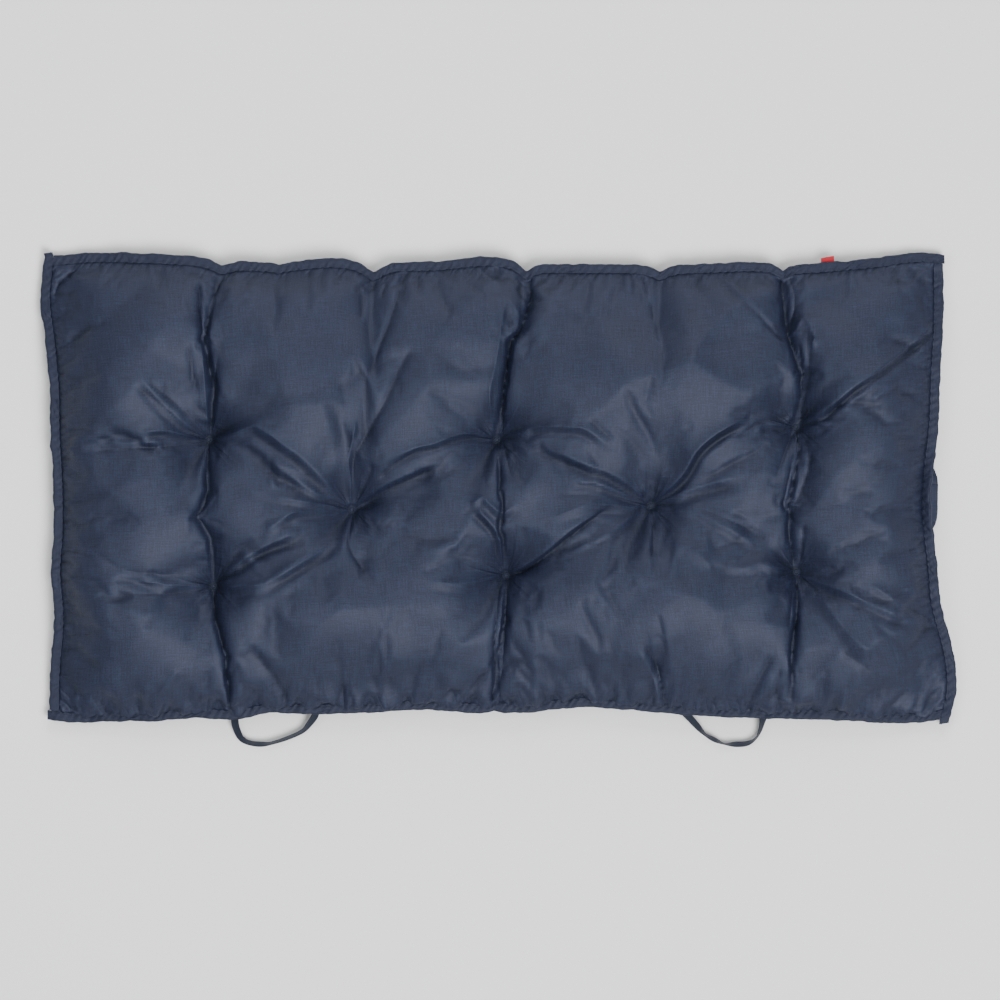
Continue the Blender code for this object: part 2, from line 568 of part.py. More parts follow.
def tuft_ring(name, x, y, z, up, material):
    """Tacked ring: a turned lump with a hollow middle, facing up or down."""
    profile = [(0.0, 0.0008), (0.0014, 0.0008), (0.0026, 0.0022), (0.0038, 0.0018), (0.0043, 0.0)]
    sides = 12
    turn = np.arange(sides) * 2 * math.pi / sides
    vertices = [(x, y, z + up * profile[0][1])]
    for radius, height in profile[1:]:
        vertices += [(x + radius * math.cos(a), y + radius * math.sin(a), z + up * height) for a in turn]
    faces = [(0, 1 + k, 1 + (k + 1) % sides) for k in range(sides)]
    for ring in range(len(profile) - 2):
        base = 1 + ring * sides
        for k in range(sides):
            n = (k + 1) % sides
            faces.append((base + k, base + sides + k, base + sides + n, base + n))
    last = 1 + (len(profile) - 2) * sides
    faces.append(tuple(last + k for k in range(sides - 1, -1, -1)))
    if up < 0:
        faces = [face[::-1] for face in faces]
    return add_object(name, vertices, faces, material, 40)


def tufts(material):
    seat_gap = 0.0004
    for number, tuft in enumerate(TUFTS, 1):
        x, y = tuft.x * MM, tuft.y * MM
        top = SEAM_HEIGHT + RIM_HALF + seat_gap
        tuft_ring(f"tuft_top_{number}", x, y, top, 1, material)
        tuft_ring(f"tuft_base_{number}", x, y, TUFT_BASE_LIFT - seat_gap, -1, material)


def centre():
    """Move every piece so that the middle of the whole is over the origin."""
    pieces = [thing for thing in bpy.data.objects if thing.type == "MESH"]
    corners = np.array([vertex.co for piece in pieces for vertex in piece.data.vertices])
    middle = (corners.min(0) + corners.max(0)) / 2
    for piece in pieces:
        for vertex in piece.data.vertices:
            vertex.co.x -= middle[0]
            vertex.co.y -= middle[1]


def main():
    clear_scene()
    cover = cloth_material("navy cover", NAVY, 0.55)
    tape = cloth_material("navy tape", NAVY_TAPE, 0.65)
    thread = cloth_material("navy thread", THREAD, 0.6)
    red = cloth_material("red label", RED, 0.7)
    cushion_body(cover)
    for length in TAPES:
        binding(length, tape)
    strap_loop("strap_loop_left", STRAP_LEFT, tape)
    strap_loop("strap_loop_right", STRAP_RIGHT, tape)
    seam_label(red)
    tufts(thread)
    centre()


main()
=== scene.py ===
"""Pallet cushion: the look of its quilted cover, bound rim, tie loops, tufts and label.

Metres, +Z up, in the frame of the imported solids. Tables of places are in millimetres: x to the right
and y to the back, seen from above. The upper cover is a height over the plan of the cushion: crown,
tufts, channels and slacks first, then a cloth simulation that settles it, and the creases last.
"""

import math
from collections import namedtuple

import bpy
import numpy as np
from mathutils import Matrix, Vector


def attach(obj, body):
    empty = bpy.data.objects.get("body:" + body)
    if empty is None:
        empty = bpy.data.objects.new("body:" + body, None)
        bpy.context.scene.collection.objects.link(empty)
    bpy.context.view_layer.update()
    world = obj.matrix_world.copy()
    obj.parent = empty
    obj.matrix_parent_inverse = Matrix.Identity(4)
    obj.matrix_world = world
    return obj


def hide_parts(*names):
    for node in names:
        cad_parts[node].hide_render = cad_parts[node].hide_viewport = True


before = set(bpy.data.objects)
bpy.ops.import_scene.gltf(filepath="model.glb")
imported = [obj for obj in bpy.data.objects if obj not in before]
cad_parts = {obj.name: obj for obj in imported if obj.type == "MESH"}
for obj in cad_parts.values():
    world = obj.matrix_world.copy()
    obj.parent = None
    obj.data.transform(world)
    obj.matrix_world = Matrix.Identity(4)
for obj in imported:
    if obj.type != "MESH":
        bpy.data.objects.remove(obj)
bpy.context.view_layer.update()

MM = 0.001

# The bound rim
TAPE_WIDTH = 0.0125
TAPE_THICK = 0.0008
TAPE_HALF = 0.0020          # from the seam's middle plane to the middle of the tape's wall
LIP_ROOM = 0.0002           # the tape's edge stops this far from the swelling cover
LIP_STEP, LIP_RISE = 0.0001, 0.0016    # the cover steps up level with the tape's face at its edge
RIM_HALF = 0.0008
RAW_EDGE = 0.0097           # how far the cover's raw edge goes into the tape
SEAM_HEIGHT = 0.026
CORNER_HEIGHT = 0.013
CORNER_REACH = (0.02, 0.17)
WIDTH, DEPTH = 1.172, 0.602

# The filling
CROWN, CROWN_RUNS = 0.054, (0.100, 0.115, 0.145, 0.165)    # rise at the left, right, front and back
BELLY, BELLY_RUNS = 0.052, (0.070, 0.070, 0.070, 0.070)
PUFF, PUFF_RUN = 0.003, 0.004
ROUND, ROUND_RUN = 0.0036, 0.013    # the upper cover rounds up quickly behind the tape
TUFT_SEAT, TUFT_CONE, TUFT_DISH, TUFT_FREE = 0.0046, 0.016, 0.056, 0.8
TUFT_LIFT = 0.013
TUFT_REACH, CONE_SHARE = 1.08, 0.38         # away from the steep side
SECTOR_SHORTER, SECTOR_STEEPER = 0.95, 0.36    # what the steep side takes off and adds
SECTOR_EDGE, SECTOR_FULL = math.radians(78), math.radians(38)
CHANNEL_SHARP, CHANNEL_SOFT = 0.0050, 0.040
CUSP_LEFT, CUSP_RIGHT, CUSP_SHARE, TROUGH_SHARE = 1.35, 0.95, 0.41, 0.16
SLACK_WIDTH, SLACK_DEPTH = 0.030, 0.6
LUMPS_FADE = (0.05, 0.5)    # the filling is even where less than this share of the crown is left
RAYS_BELOW, GATHERS_BELOW = 0.5, 0.7    # how much of them shows in the lower cover
CURL_MIDDLE, CURL_SPREAD = 0.002, 0.052
CURL_ANGLE = math.radians(36)
SWELL, SWELL_PEAK, SWELL_RUN = 0.029, 0.008, 0.014

# Random unevenness: the spread of its rise, its shortest and longest waves, their number and the seed
Waves = namedtuple("Waves", "rise shortest longest count seed")
LUMPS, SMALL_LUMPS = Waves(0.0011, 0.080, 0.160, 22, 5), Waves(0.0002, 0.030, 0.055, 30, 6)
WRINKLES_BELOW = Waves(0.0006, 0.020, 0.050, 24, 8)
BULGE_WAVES = Waves(0.45, 0.016, 0.050, 16, 31)
TAPE_BOB, TAPE_SWAY = Waves(0.00045, 0.016, 0.050, 12, 21), Waves(0.0004, 0.012, 0.040, 12, 23)

Place = namedtuple("Place", "x y")
FRONT_LEFT, FRONT_RIGHT = Place(-585, -286), Place(587, -284)
BACK_LEFT, BACK_RIGHT = Place(-591.5, 316), Place(578.8, 320)
BACK = [Place(-562, 319.5), Place(-525, 322.0), Place(-466, 320.8), Place(-400, 317.5), Place(-330, 311),
        Place(-286, 309), Place(-219, 314.5), Place(-150, 311), Place(-89, 310), Place(-11, 316.3),
        Place(60, 308), Place(150, 306.8), Place(260, 307), Place(327, 309.4), Place(395, 307),
        Place(440, 310), Place(496, 316), Place(540, 322.0), Place(560, 322.2)]
FRONT = [Place(-562, -289.3), Place(-505, -288.4), Place(-440, -287.3), Place(-396, -283.6),
         Place(-346, -285.6), Place(-300, -278), Place(-240, -278.5), Place(-183, -277.2),
         Place(-88, -273), Place(-37, -276.9), Place(28, -277), Place(110, -269.6), Place(184, -274.3),
         Place(233, -279.1), Place(322, -283.4), Place(431, -286), Place(540, -289.9), Place(569, -287)]
LEFT = [Place(-584.4, -262), Place(-584.2, -234), Place(-577.9, -149), Place(-581.8, -88),
        Place(-579.2, -52), Place(-579.2, 26), Place(-582.5, 83), Place(-583.6, 143),
        Place(-588.6, 198), Place(-596.2, 269), Place(-593.5, 297)]
RIGHT = [Place(592.5, -266), Place(596.0, -224), Place(588, -182), Place(576.2, -140), Place(570.5, -85),
         Place(566, -45), Place(563.5, 0), Place(566.5, 45), Place(572.1, 99), Place(574.7, 165),
         Place(578.8, 231), Place(579.2, 290)]

Dent = namedtuple("Dent", "along inward width")
BACK_DENTS = [Dent(-359, 8.0, 16), Dent(-286, 2.5, 9), Dent(-162, 15.0, 17), Dent(37, 13.0, 12),
              Dent(210, 9.0, 15), Dent(370, 9.5, 10)]
FRONT_DENTS = [Dent(-6, 3.0, 9), Dent(-290, 1.5, 10)]

Tuft = namedtuple("Tuft", "x y steep_side steepness")
TUFTS = [Tuft(-376, 78, -45, 0.45), Tuft(-2, 78, -50, 0.40), Tuft(387, 95, -20, 0.35),
         Tuft(-190, -13, -55, 0.55), Tuft(198, -8, -50, 0.45), Tuft(-370, -112, -20, 0.50),
         Tuft(10, -98, -50, 0.45), Tuft(387, -94, -150, 0.50)]

Channel = namedtuple("Channel", "x y share")
CHANNELS = [
    [Channel(-359, 304, 0.70), Channel(-370, 262, 0.60), Channel(-380, 208, 0.42), Channel(-370, 143, 0.55),
     Channel(-376, 78, 0.75), Channel(-377, 13, 0.62), Channel(-389, -22, 0.34), Channel(-374, -52, 0.55),
     Channel(-370, -112, 0.75), Channel(-367, -156, 0.60), Channel(-354, -202, 0.45),
     Channel(-348, -277, 0.60)],
    [Channel(37, 296, 0.78), Channel(42, 260, 0.66), Channel(28, 218, 0.55), Channel(15, 202, 0.50),
     Channel(7, 143, 0.60), Channel(-2, 78, 0.72), Channel(1, 26, 0.25), Channel(3, -39, 0.22),
     Channel(10, -98, 0.72), Channel(7, -156, 0.68), Channel(-1, -202, 0.60), Channel(-6, -274, 0.66)],
    [Channel(370, 298, 0.80), Channel(375, 214, 0.66), Channel(393, 162, 0.60), Channel(387, 95, 0.78),
     Channel(388, 52, 0.66), Channel(376, -6, 0.50), Channel(379, -52, 0.52), Channel(387, -94, 0.76),
     Channel(385, -150, 0.60), Channel(379, -214, 0.40), Channel(378, -250, 0.20)],
]

Slack = namedtuple("Slack", "x0 y0 x1 y1 share")
SLACKS = [Slack(-376, 78, -190, -13, 0.24), Slack(-190, -13, -2, 78, 0.26),
          Slack(-370, -112, -190, -13, 0.22),
          Slack(-190, -13, 10, -98, 0.16), Slack(-2, 78, 198, -8, 0.24), Slack(10, -98, 198, -8, 0.30),
          Slack(198, -8, 387, 95, 0.30), Slack(198, -8, 387, -94, 0.24), Slack(-580, 75, -376, 78, 0.16),
          Slack(-580, -110, -370, -112, 0.14), Slack(387, 95, 572, 150, 0.16),
          Slack(387, -94, 572, -150, 0.16),
          Slack(-190, -13, -160, 295, 0.20), Slack(198, -8, 212, 296, 0.10)]

# Creases of the upper cover. rise is positive for a ridge and negative for a slit or a valley; left
# and right are its widths on either hand, walking along the path; trough is the share of the rise
# that sinks beside a ridge on its right; lean is how far the ridge falls over to the right.
Crease = namedtuple("Crease", "path rise left right trough lean")
CREASES = [
    Crease([(-577, 266), (-569, 286), (-548, 299)], -5, 3, 5, 0, 0),
    Crease([(-388, 280), (-387, 240), (-383, 202)], -7, 3.5, 3.5, 0, 0),
    Crease([(-357, 286), (-365, 273), (-371, 260)], -4, 3, 3, 0, 0),
    Crease([(-401, 202), (-400, 182), (-396, 159), (-389, 136)], -3.5, 3, 3, 0, 0),
    Crease([(-361, 284), (-369, 235), (-370, 195), (-362, 143), (-370, 96)], 4.5, 46, 5, 0, 0),
    Crease([(-361, 185), (-367, 150), (-371, 110), (-375, 83)], -4.5, 8, 6, 0, 0),
    Crease([(-384, 195), (-380, 136), (-376, 86)], 3.5, 4, 6, 0, 0),
    Crease([(-376, 73), (-379, 39), (-379, 0), (-389, -21)], -6, 22, 6, 0, 0),
    Crease([(-389, -23), (-380, -32), (-370, -58), (-369, -107)], -6.5, 24, 6, 0, 0),
    Crease([(-369, -117), (-369, -143), (-359, -182), (-354, -221)], -5, 15, 6, 0, 0),
    Crease([(-354, -221), (-350, -240), (-348, -276)], -5, 6, 4, 0, 0),
    Crease([(-359, -221), (-354, -247), (-352, -273)], 2.5, 3, 4, 0, 0),
    Crease([(-460, 156), (-434, 124), (-408, 101), (-383, 83)], 4.5, 9, 5, 0.4, 0),
    Crease([(-453, 152), (-421, 127), (-395, 104)], -3, 4, 4, 0, 0),
    Crease([(-466, 146), (-437, 124), (-414, 104)], -2.5, 4, 4, 0, 0),
    Crease([(-460, 88), (-434, 90), (-401, 83), (-382, 78)], 3.5, 8, 4, 0.6, 0),
    Crease([(-492, 72), (-460, 74), (-427, 78)], 2, 6, 5, 0, 0),
    Crease([(-525, 62), (-453, 68), (-382, 74)], -8, 12, 52, 0, 0),
    Crease([(-466, -104), (-414, -110), (-375, -112)], 3.5, 8, 6, 0.3, 0),
    Crease([(-365, -112), (-307, -110), (-291, -101), (-258, -78), (-218, -49)], 4, 9, 6, 0.5, 0),
    Crease([(-525, -65), (-505, -78), (-479, -91), (-388, -99)], -3, 9, 9, 0, 0),
    Crease([(-505, -122), (-440, -121), (-375, -118)], -6, 9, 40, 0, 0),
    Crease([(-570, -65), (-544, -69), (-522, -78)], -3, 4, 4, 0, 0),
    Crease([(-570, -135), (-544, -138)], -2.5, 4, 4, 0, 0),
    Crease([(-570, -177), (-525, -174)], -3, 4, 4, 0, 0),
    Crease([(-574, -228), (-552, -226)], -2, 4, 4, 0, 0),
    Crease([(-440, -247), (-424, -228), (-414, -218)], 3, 6, 5, 0.3, 0),
    Crease([(-518, -255), (-508, -277)], -3, 3, 3, 0, 0),
    Crease([(-447, -277), (-434, -270), (-423, -270)], -2.5, 3, 3, 0, 0),
    Crease([(-376, -247), (-379, -273)], -3, 3, 3, 0, 0),
    Crease([(-362, -101), (-336, -81), (-307, -62), (-258, -39)], 5, 12, 5, 0.6, 0),
    Crease([(-353, -99), (-326, -81), (-297, -64)], -2.5, 4, 4, 0, 0),
    Crease([(-291, -104), (-258, -82), (-232, -64), (-218, -52)], 4, 6, 5, 0.7, 0),
    Crease([(-300, -39), (-278, -23), (-258, -14), (-200, -16)], 4.5, 10, 5, 0.4, 0),
    Crease([(-368, 79), (-343, 86), (-318, 95), (-297, 86), (-278, 72), (-258, 58), (-232, 32), (-213, 9),
            (-197, -5)], 5.5, 13, 6, 0.5, 0),
    Crease([(-296, 51), (-265, 29), (-242, 13), (-200, -6)], 4, 7, 5, 0.6, 0),
    Crease([(-294, 49), (-271, 42), (-245, 32)], 2.5, 5, 4, 0, 0),
    Crease([(-300, 26), (-271, 9)], 2.5, 5, 4, 0, 0),
    Crease([(-297, 6), (-258, 0), (-226, -6), (-198, -12)], 4, 6, 5, 0.5, 0),
    Crease([(-185, 104), (-189, 78), (-194, 49), (-192, 26), (-192, -3)], 4, 5, 5, 0, 0),
    Crease([(-187, 0), (-188, 48), (-177, 74), (-148, 124), (-128, 169), (-112, 195)], -8, 13, 13, 0, 0),
    Crease([(-129, 276), (-131, 260), (-144, 221), (-154, 198), (-170, 156)], -5, 5, 3.5, 0, 0),
    Crease([(-176, 269), (-179, 234)], -4, 3.5, 3.5, 0, 0),
    Crease([(-174, 282), (-184, 268)], -3, 3, 3, 0, 0),
    Crease([(-158, 285), (-167, 269)], -3, 3, 3, 0, 0),
    Crease([(-145, 282), (-151, 265)], -3, 3, 3, 0, 0),
    Crease([(-122, 298), (-125, 286), (-141, 273)], -4, 3.5, 3.5, 0, 0),
    Crease([(-154, 29), (-135, 46), (-102, 68)], -4, 3.5, 5, 0, 0),
    Crease([(-135, 55), (-109, 68), (-83, 74), (-57, 83), (-31, 86), (-8, 78)], 5, 9, 4, 0.5, 0),
    Crease([(-184, -4), (-148, 20), (-112, 36), (-84, 49)], 4.5, 8, 3, 0, 0),
    Crease([(-185, -12), (-148, 12), (-112, 29), (-84, 43)], -8, 3.5, 32, 0, 0),
    Crease([(-184, 0), (-167, 32), (-164, 48)], -3, 3, 3, 0, 0),
    Crease([(-189, -18), (-194, -58), (-164, -104)], -6, 26, 5, 0, 0),
    Crease([(38, 250), (25, 206), (15, 150), (7, 98)], 4.5, 46, 5, 0, 0),
    Crease([(6, 83), (5, 130), (7, 156), (16, 202), (12, 213)], -5.5, 6, 10, 0, 0),
    Crease([(10, 211), (23, 221), (23, 243), (12, 256)], 4, 5, 5, 0, 0),
    Crease([(14, 220), (16, 242)], -2.5, 4, 4, 0, 0),
    Crease([(40, 299), (42, 280), (41, 260), (29, 221), (18, 208)], -6.5, 6, 5, 0, 0),
    Crease([(29, 292), (28, 247), (25, 228)], -4, 4, 4, 0, 0),
    Crease([(34, 292), (34, 260), (29, 231)], 2.5, 4, 4, 0, 0),
    Crease([(8, 254), (-7, 169), (-12, 143), (-11, 101)], 3.5, 5, 7, 0, 0),
    Crease([(2, 81), (34, 88), (44, 94), (99, 94), (119, 88), (141, 70)], 4.5, 10, 5, 0.5, 0),
    Crease([(119, 104), (132, 91), (148, 77)], -3, 4, 4, 0, 0),
    Crease([(6, 72), (11, 52), (18, 29)], -3.5, 3.5, 3.5, 0, 0),
    Crease([(2, 46), (3, 20)], -2.5, 3, 3, 0, 0),
    Crease([(-37, -6), (-24, 4), (-14, -4), (-2, -14), (8, -16), (21, -6)], 4.5, 5, 5, 0.5, 0),
    Crease([(-31, -10), (-18, -23), (-5, -39), (1, -55), (7, -88)], 4.5, 6, 4, 0.6, 0),
    Crease([(-89, -104), (-50, -107), (-18, -101), (5, -98)], 3.5, 8, 6, 0.3, 0),
    Crease([(-96, -72), (-63, -68), (-31, -78)], -1.5, 5, 6, 0, 0),
    Crease([(15, -94), (54, -69), (93, -36), (136, -10)], 7, 13, 4, 0, 2),
    Crease([(18, -99), (41, -86), (76, -58), (106, -35), (135, -14)], -8, 3.5, 6, 0, 0),
    Crease([(99, -62), (132, -48), (158, -32), (180, -14)], 4, 6, 5, 0.4, 0),
    Crease([(12, -104), (11, -130), (8, -182), (6, -208), (2, -237)], -6.5, 15, 6, 0, 0),
    Crease([(2, -110), (-5, -156), (-8, -195), (-2, -214)], -5, 4, 3.5, 0, 0),
    Crease([(7, -117), (2, -156), (-1, -195), (2, -218)], 4, 3, 3, 0, 0),
    Crease([(-5, -234), (-8, -247), (-6, -273)], -4, 3, 3, 0, 0),
    Crease([(2, -244), (2, -274)], -5, 3, 3, 0, 0),
    Crease([(73, -20), (119, -5), (171, -9), (190, -6)], 4, 8, 6, 0.5, 0),
    Crease([(68, 65), (132, 39), (158, 26), (177, 13), (189, 0)], 6, 13, 5, 0.5, 0),
    Crease([(99, 26), (132, 20), (187, -3)], 4, 6, 4, 0.5, 0),
    Crease([(188, 17), (196, 0)], 2.5, 3, 3, 0, 0),
    Crease([(197, 23), (198, 1)], 2.5, 3, 3, 0, 0),
    Crease([(206, 18), (201, 1)], 2.5, 3, 3, 0, 0),
    Crease([(203, 0), (236, 32), (255, 65), (281, 88), (314, 105)], 7.5, 14, 5, 0.9, 2),
    Crease([(206, -3), (255, 16), (307, 29)], 5, 12, 6, 0.7, 0),
    Crease([(201, -16), (198, -72)], -6, 10, 4, 0, 0),
    Crease([(249, -10), (301, -39), (333, -58)], 3, 6, 5, 0.5, 0),
    Crease([(259, -9), (327, -39), (346, -52)], -2.5, 4, 4, 0, 0),
    Crease([(220, -52), (262, -72), (275, -91)], 3, 8, 7, 0.3, 0),
    Crease([(288, -84), (314, -88), (340, -81), (366, -88), (382, -94)], 3.5, 7, 6, 0.5, 0),
    Crease([(367, 299), (367, 273), (374, 218)], -9, 5, 4, 0, 0),
    Crease([(375, 296), (385, 260), (376, 217)], -5, 8, 4, 0, 0),
    Crease([(375, 212), (385, 176), (396, 136)], -6, 7, 4, 0, 0),
    Crease([(379, 212), (396, 235), (408, 214), (406, 192)], 6, 5, 5, 0, 0),
    Crease([(400, 212), (401, 162), (393, 110), (389, 100)], -6.5, 12, 6, 0, 0),
    Crease([(389, 202), (395, 156)], -4, 3, 3, 0, 0),
    Crease([(392, 99), (431, 126), (461, 150), (496, 174), (548, 214), (570, 230)], 8, 18, 5, 0.6, 2),
    Crease([(421, 105), (444, 127), (470, 151)], -4, 3, 3, 0, 0),
    Crease([(444, 120), (496, 159)], 3, 5, 4, 0.4, 0),
    Crease([(483, 130), (509, 150)], 2.5, 5, 4, 0, 0),
    Crease([(515, 136), (564, 140)], -2.5, 6, 6, 0, 0),
    Crease([(333, 88), (346, 98), (379, 95)], 3.5, 6, 5, 0.4, 0),
    Crease([(307, 82), (340, 99), (375, 107)], -4, 3.5, 3.5, 0, 0),
    Crease([(383, 88), (372, 65), (358, 29)], -6, 5, 15, 0, 0),
    Crease([(392, 88), (401, 58), (396, 26), (385, -3)], -6.5, 17, 5, 0, 0),
    Crease([(385, 88), (388, 26), (382, 0)], 4, 4, 4, 0, 0),
    Crease([(382, 58), (371, 6), (372, -13), (389, -34)], -4, 3, 3, 0, 0),
    Crease([(375, -26), (384, -88)], -4, 4, 7, 0, 0),
    Crease([(396, -32), (392, -84)], -4, 8, 4, 0, 0),
    Crease([(384, -100), (379, -130), (374, -166)], -7, 4, 22, 0, 0),
    Crease([(385, -100), (388, -143), (378, -188), (379, -214)], -6, 5, 5, 0, 0),
    Crease([(371, -195), (375, -228), (384, -243)], 3.5, 4, 5, 0, 0),
    Crease([(392, -98), (444, -117), (496, -140), (545, -159)], 6.5, 12, 6, 0.6, 0),
    Crease([(483, -110), (509, -127), (548, -159)], 3, 6, 5, 0.4, 0),
    Crease([(519, -133), (570, -159)], -3, 6, 14, 0, 0),
    Crease([(411, -117), (457, -176), (486, -198)], 4, 8, 8, 0.5, 0),
    Crease([(444, -195), (483, -221)], -3.5, 6, 9, 0, 0),
    Crease([(483, -156), (528, -195)], -3, 8, 8, 0, 0),
    Crease([(-278, -247), (-276, -276)], -2.5, 3, 3, 0, 0),
    Crease([(-232, -251), (-226, -264), (-224, -276)], -2.5, 3, 3, 0, 0),
    Crease([(-202, -234), (-201, -250), (-200, -272)], -4.5, 3.5, 3.5, 0, 0),
    Crease([(-174, -247), (-172, -272)], -2.5, 3, 3, 0, 0),
    Crease([(54, -234), (60, -250), (64, -268)], -3.5, 3.5, 3.5, 0, 0),
    Crease([(106, -242), (111, -264)], -3, 3, 3, 0, 0),
    Crease([(190, -188), (207, -221), (218, -265)], -7, 8, 4, 0, 0),
    Crease([(183, -195), (200, -228), (210, -265)], 3, 4, 5, 0, 0),
    Crease([(201, -247), (202, -272)], -2.5, 3, 3, 0, 0),
    Crease([(353, -198), (330, -247), (324, -268)], -6, 5, 8, 0, 0),
    Crease([(363, -218), (359, -240), (366, -265)], -4, 3, 3, 0, 0),
    Crease([(187, 304), (189, 283), (193, 263)], -4.5, 4, 4, 0, 0),
    Crease([(198, 254), (200, 231)], -2.5, 3, 3, 0, 0),
]

# Tie loops: the middle of the strap along its way, its height and how far it leans over
Bend = namedtuple("Bend", "x y z lean")
STRAP_LEFT = [Bend(-342.5, -279.5, 19.6, 6), Bend(-343, -289, 14.0, 14), Bend(-340.5, -300, 8.6, 24),
              Bend(-334.5, -311, 6.2, 42), Bend(-324, -316.4, 5.8, 52), Bend(-310, -318.1, 5.8, 50),
              Bend(-296, -316.6, 6.3, 66), Bend(-276, -310.4, 6.3, 62), Bend(-256, -301.4, 6.8, 60),
              Bend(-246, -291, 10.6, 44), Bend(-239.5, -281.5, 17.4, 26), Bend(-237, -273.5, 20.8, 8)]
STRAP_RIGHT = [Bend(243, -277, 19.8, 8), Bend(250, -284.5, 16.0, 26), Bend(259.5, -295, 9.6, 40),
               Bend(269, -305.2, 6.6, 70), Bend(281, -312, 6.2, 56), Bend(294, -317.6, 6.4, 80),
               Bend(309, -318.2, 5.6, 48), Bend(324, -317, 5.6, 52), Bend(335, -310.5, 6.4, 76),
               Bend(340.5, -300, 8.4, 62), Bend(343, -290, 14.6, 46), Bend(344.6, -281, 19.4, 10)]
STRAP_WIDTH, STRAP_THICK, STRAP_DISH = 0.0100, 0.0009, 0.0004

LABEL_MIDDLE, LABEL_WIDTH, LABEL_REACH, LABEL_TUCK = 0.428, 0.017, 0.0070, 0.006
LABEL_THICK, LABEL_HALF, LABEL_BELOW = 0.0003, 0.00032, 0.0010
LABEL_SKEW, LABEL_WAVE, LABEL_DROOP = 0.0016, 0.0008, 0.0018

# Tacking rings
RING_RADIUS, RING_UNROUND, RING_TUBE, RING_TURNS = 0.00300, 0.00012, 0.00112, 26
RING_RISE, RING_TILT, RING_OFF = 0.0012, 0.0002, 0.0003
RING_POINTS, TUBE_POINTS, BASE_SEEDS = 96, 10, 20


# Curves and fields

def smooth(knots, values, at):
    """Cubic curve through (knots, values), its slope at a knot taken from the knots beside it."""
    knots, values = np.asarray(knots, float), np.asarray(values, float)
    slopes = np.gradient(values, knots, axis=0)
    i = np.clip(np.searchsorted(knots, at) - 1, 0, len(knots) - 2)
    step = knots[i + 1] - knots[i]
    t = (at - knots[i]) / step
    if values.ndim > 1:
        spread = (slice(None),) + (None,) * (values.ndim - 1)
        step, t = step[spread], t[spread]
    return ((1 + 2 * t) * (1 - t) ** 2 * values[i] + t * (1 - t) ** 2 * step * slopes[i]
            + t * t * (3 - 2 * t) * values[i + 1] + t * t * (t - 1) * step * slopes[i + 1])


def ease(value, low, high):
    """0 below low, 1 above high, 3t^2 - 2t^3 between."""
    t = np.clip((value - low) / (high - low), 0, 1)
    return t * t * (3 - 2 * t)


def waves(x, y, kind):
    """Soft random field with a spread of its rise: plane waves of random way, phase and length, added up."""
    dice = np.random.default_rng(kind.seed)
    field = np.zeros(x.shape)
    for _ in range(kind.count):
        way, phase = dice.uniform(0, 2 * math.pi, 2)
        length = dice.uniform(kind.shortest, kind.longest)
        field += np.cos((x * math.cos(way) + y * math.sin(way)) * 2 * math.pi / length + phase)
    return kind.rise * (field * math.sqrt(2 / kind.count))


def unit(vectors):
    """The vectors of an array, each with a length of 1."""
    return vectors / np.linalg.norm(vectors, axis=-1, keepdims=True)


def length_of(points):
    """Length of the line through the points."""
    return float(np.linalg.norm(np.diff(points, axis=0), axis=1).sum())


def long_side(t, start, rows, end, dents, inward):
    """Points of the front or back rim for t from 0 (left) to 1 (right), each dent a sharp bell."""
    x = start.x + (end.x - start.x) * t
    table = [start, *rows, end]
    y = smooth([p.x for p in table], [p.y for p in table], x.ravel()).reshape(x.shape)
    for dent in dents:
        y = y + inward * dent.inward * np.exp(-np.abs((x - dent.along) / dent.width) ** 1.4)
    return np.stack([x, y], -1) * MM


def short_side(t, start, rows, end):
    """Points of the left or right rim for t from 0 (front) to 1 (back)."""
    y = start.y + (end.y - start.y) * t
    table = [start, *rows, end]
    x = smooth([p.y for p in table], [p.x for p in table], y.ravel()).reshape(y.shape)
    return np.stack([x, y], -1) * MM


def side_distances(u, v):
    """Distance of a point inward from the inner edge of the tape on the left, right, front and back."""
    return [u * WIDTH - TAPE_WIDTH, (1 - u) * WIDTH - TAPE_WIDTH,
            v * DEPTH - TAPE_WIDTH, (1 - v) * DEPTH - TAPE_WIDTH]


RUFFLE_GAP, RUFFLE_SIZE, RUFFLE_REACH = (0.0070, 0.0130), (0.35, 1.0), (0.006, 0.024)
RUFFLE_COUNT, RUFFLE_EARLY, RUFFLE_MIDDLE = 200, 0.04, 0.65
RUFFLE_SLANT = {"left": -0.6, "right": 0.6, "front": -0.6, "back": 0.6}
RUFFLE_SEEDS = {"left": 61, "right": 62, "front": 63, "back": 64}
Ruffle = namedtuple("Ruffle", "height reach")
PUCKER, PUCKER_VALLEY, PUCKER_CROWN = 0.0014, 0.6, 1.6
SCALLOP, SCALLOP_REACH = 0.0020, 0.0065


def ruffle(side, along):
    """The seam's ruffles: |sin|^0.6 of their count along the side, so round crowns and sharp valleys.

    The height is about -0.65 in a valley and 0.35 on a crown, less for a small ruffle; the reach is
    how far it runs into the cover.
    """
    dice = np.random.default_rng(RUFFLE_SEEDS[side])
    ends = np.cumsum(dice.uniform(*RUFFLE_GAP, RUFFLE_COUNT)) - RUFFLE_EARLY
    size, reach = dice.uniform(*RUFFLE_SIZE, RUFFLE_COUNT), dice.uniform(*RUFFLE_REACH, RUFFLE_COUNT)
    count = np.interp(along, ends, np.arange(RUFFLE_COUNT))
    whole = np.clip(np.round(count).astype(int), 0, RUFFLE_COUNT - 1)
    return Ruffle((np.abs(np.sin(math.pi * count)) ** 0.6 - RUFFLE_MIDDLE) * size[whole], reach[whole])


def pucker(wave):
    """How far a ruffle lifts the face of the tape: its crown more than its valley."""
    return PUCKER * np.where(wave < 0, PUCKER_VALLEY, PUCKER_CROWN) * wave


def bob(x, y):
    """How far the whole tape waves up and down along the rim."""
    return waves(x, y, TAPE_BOB)


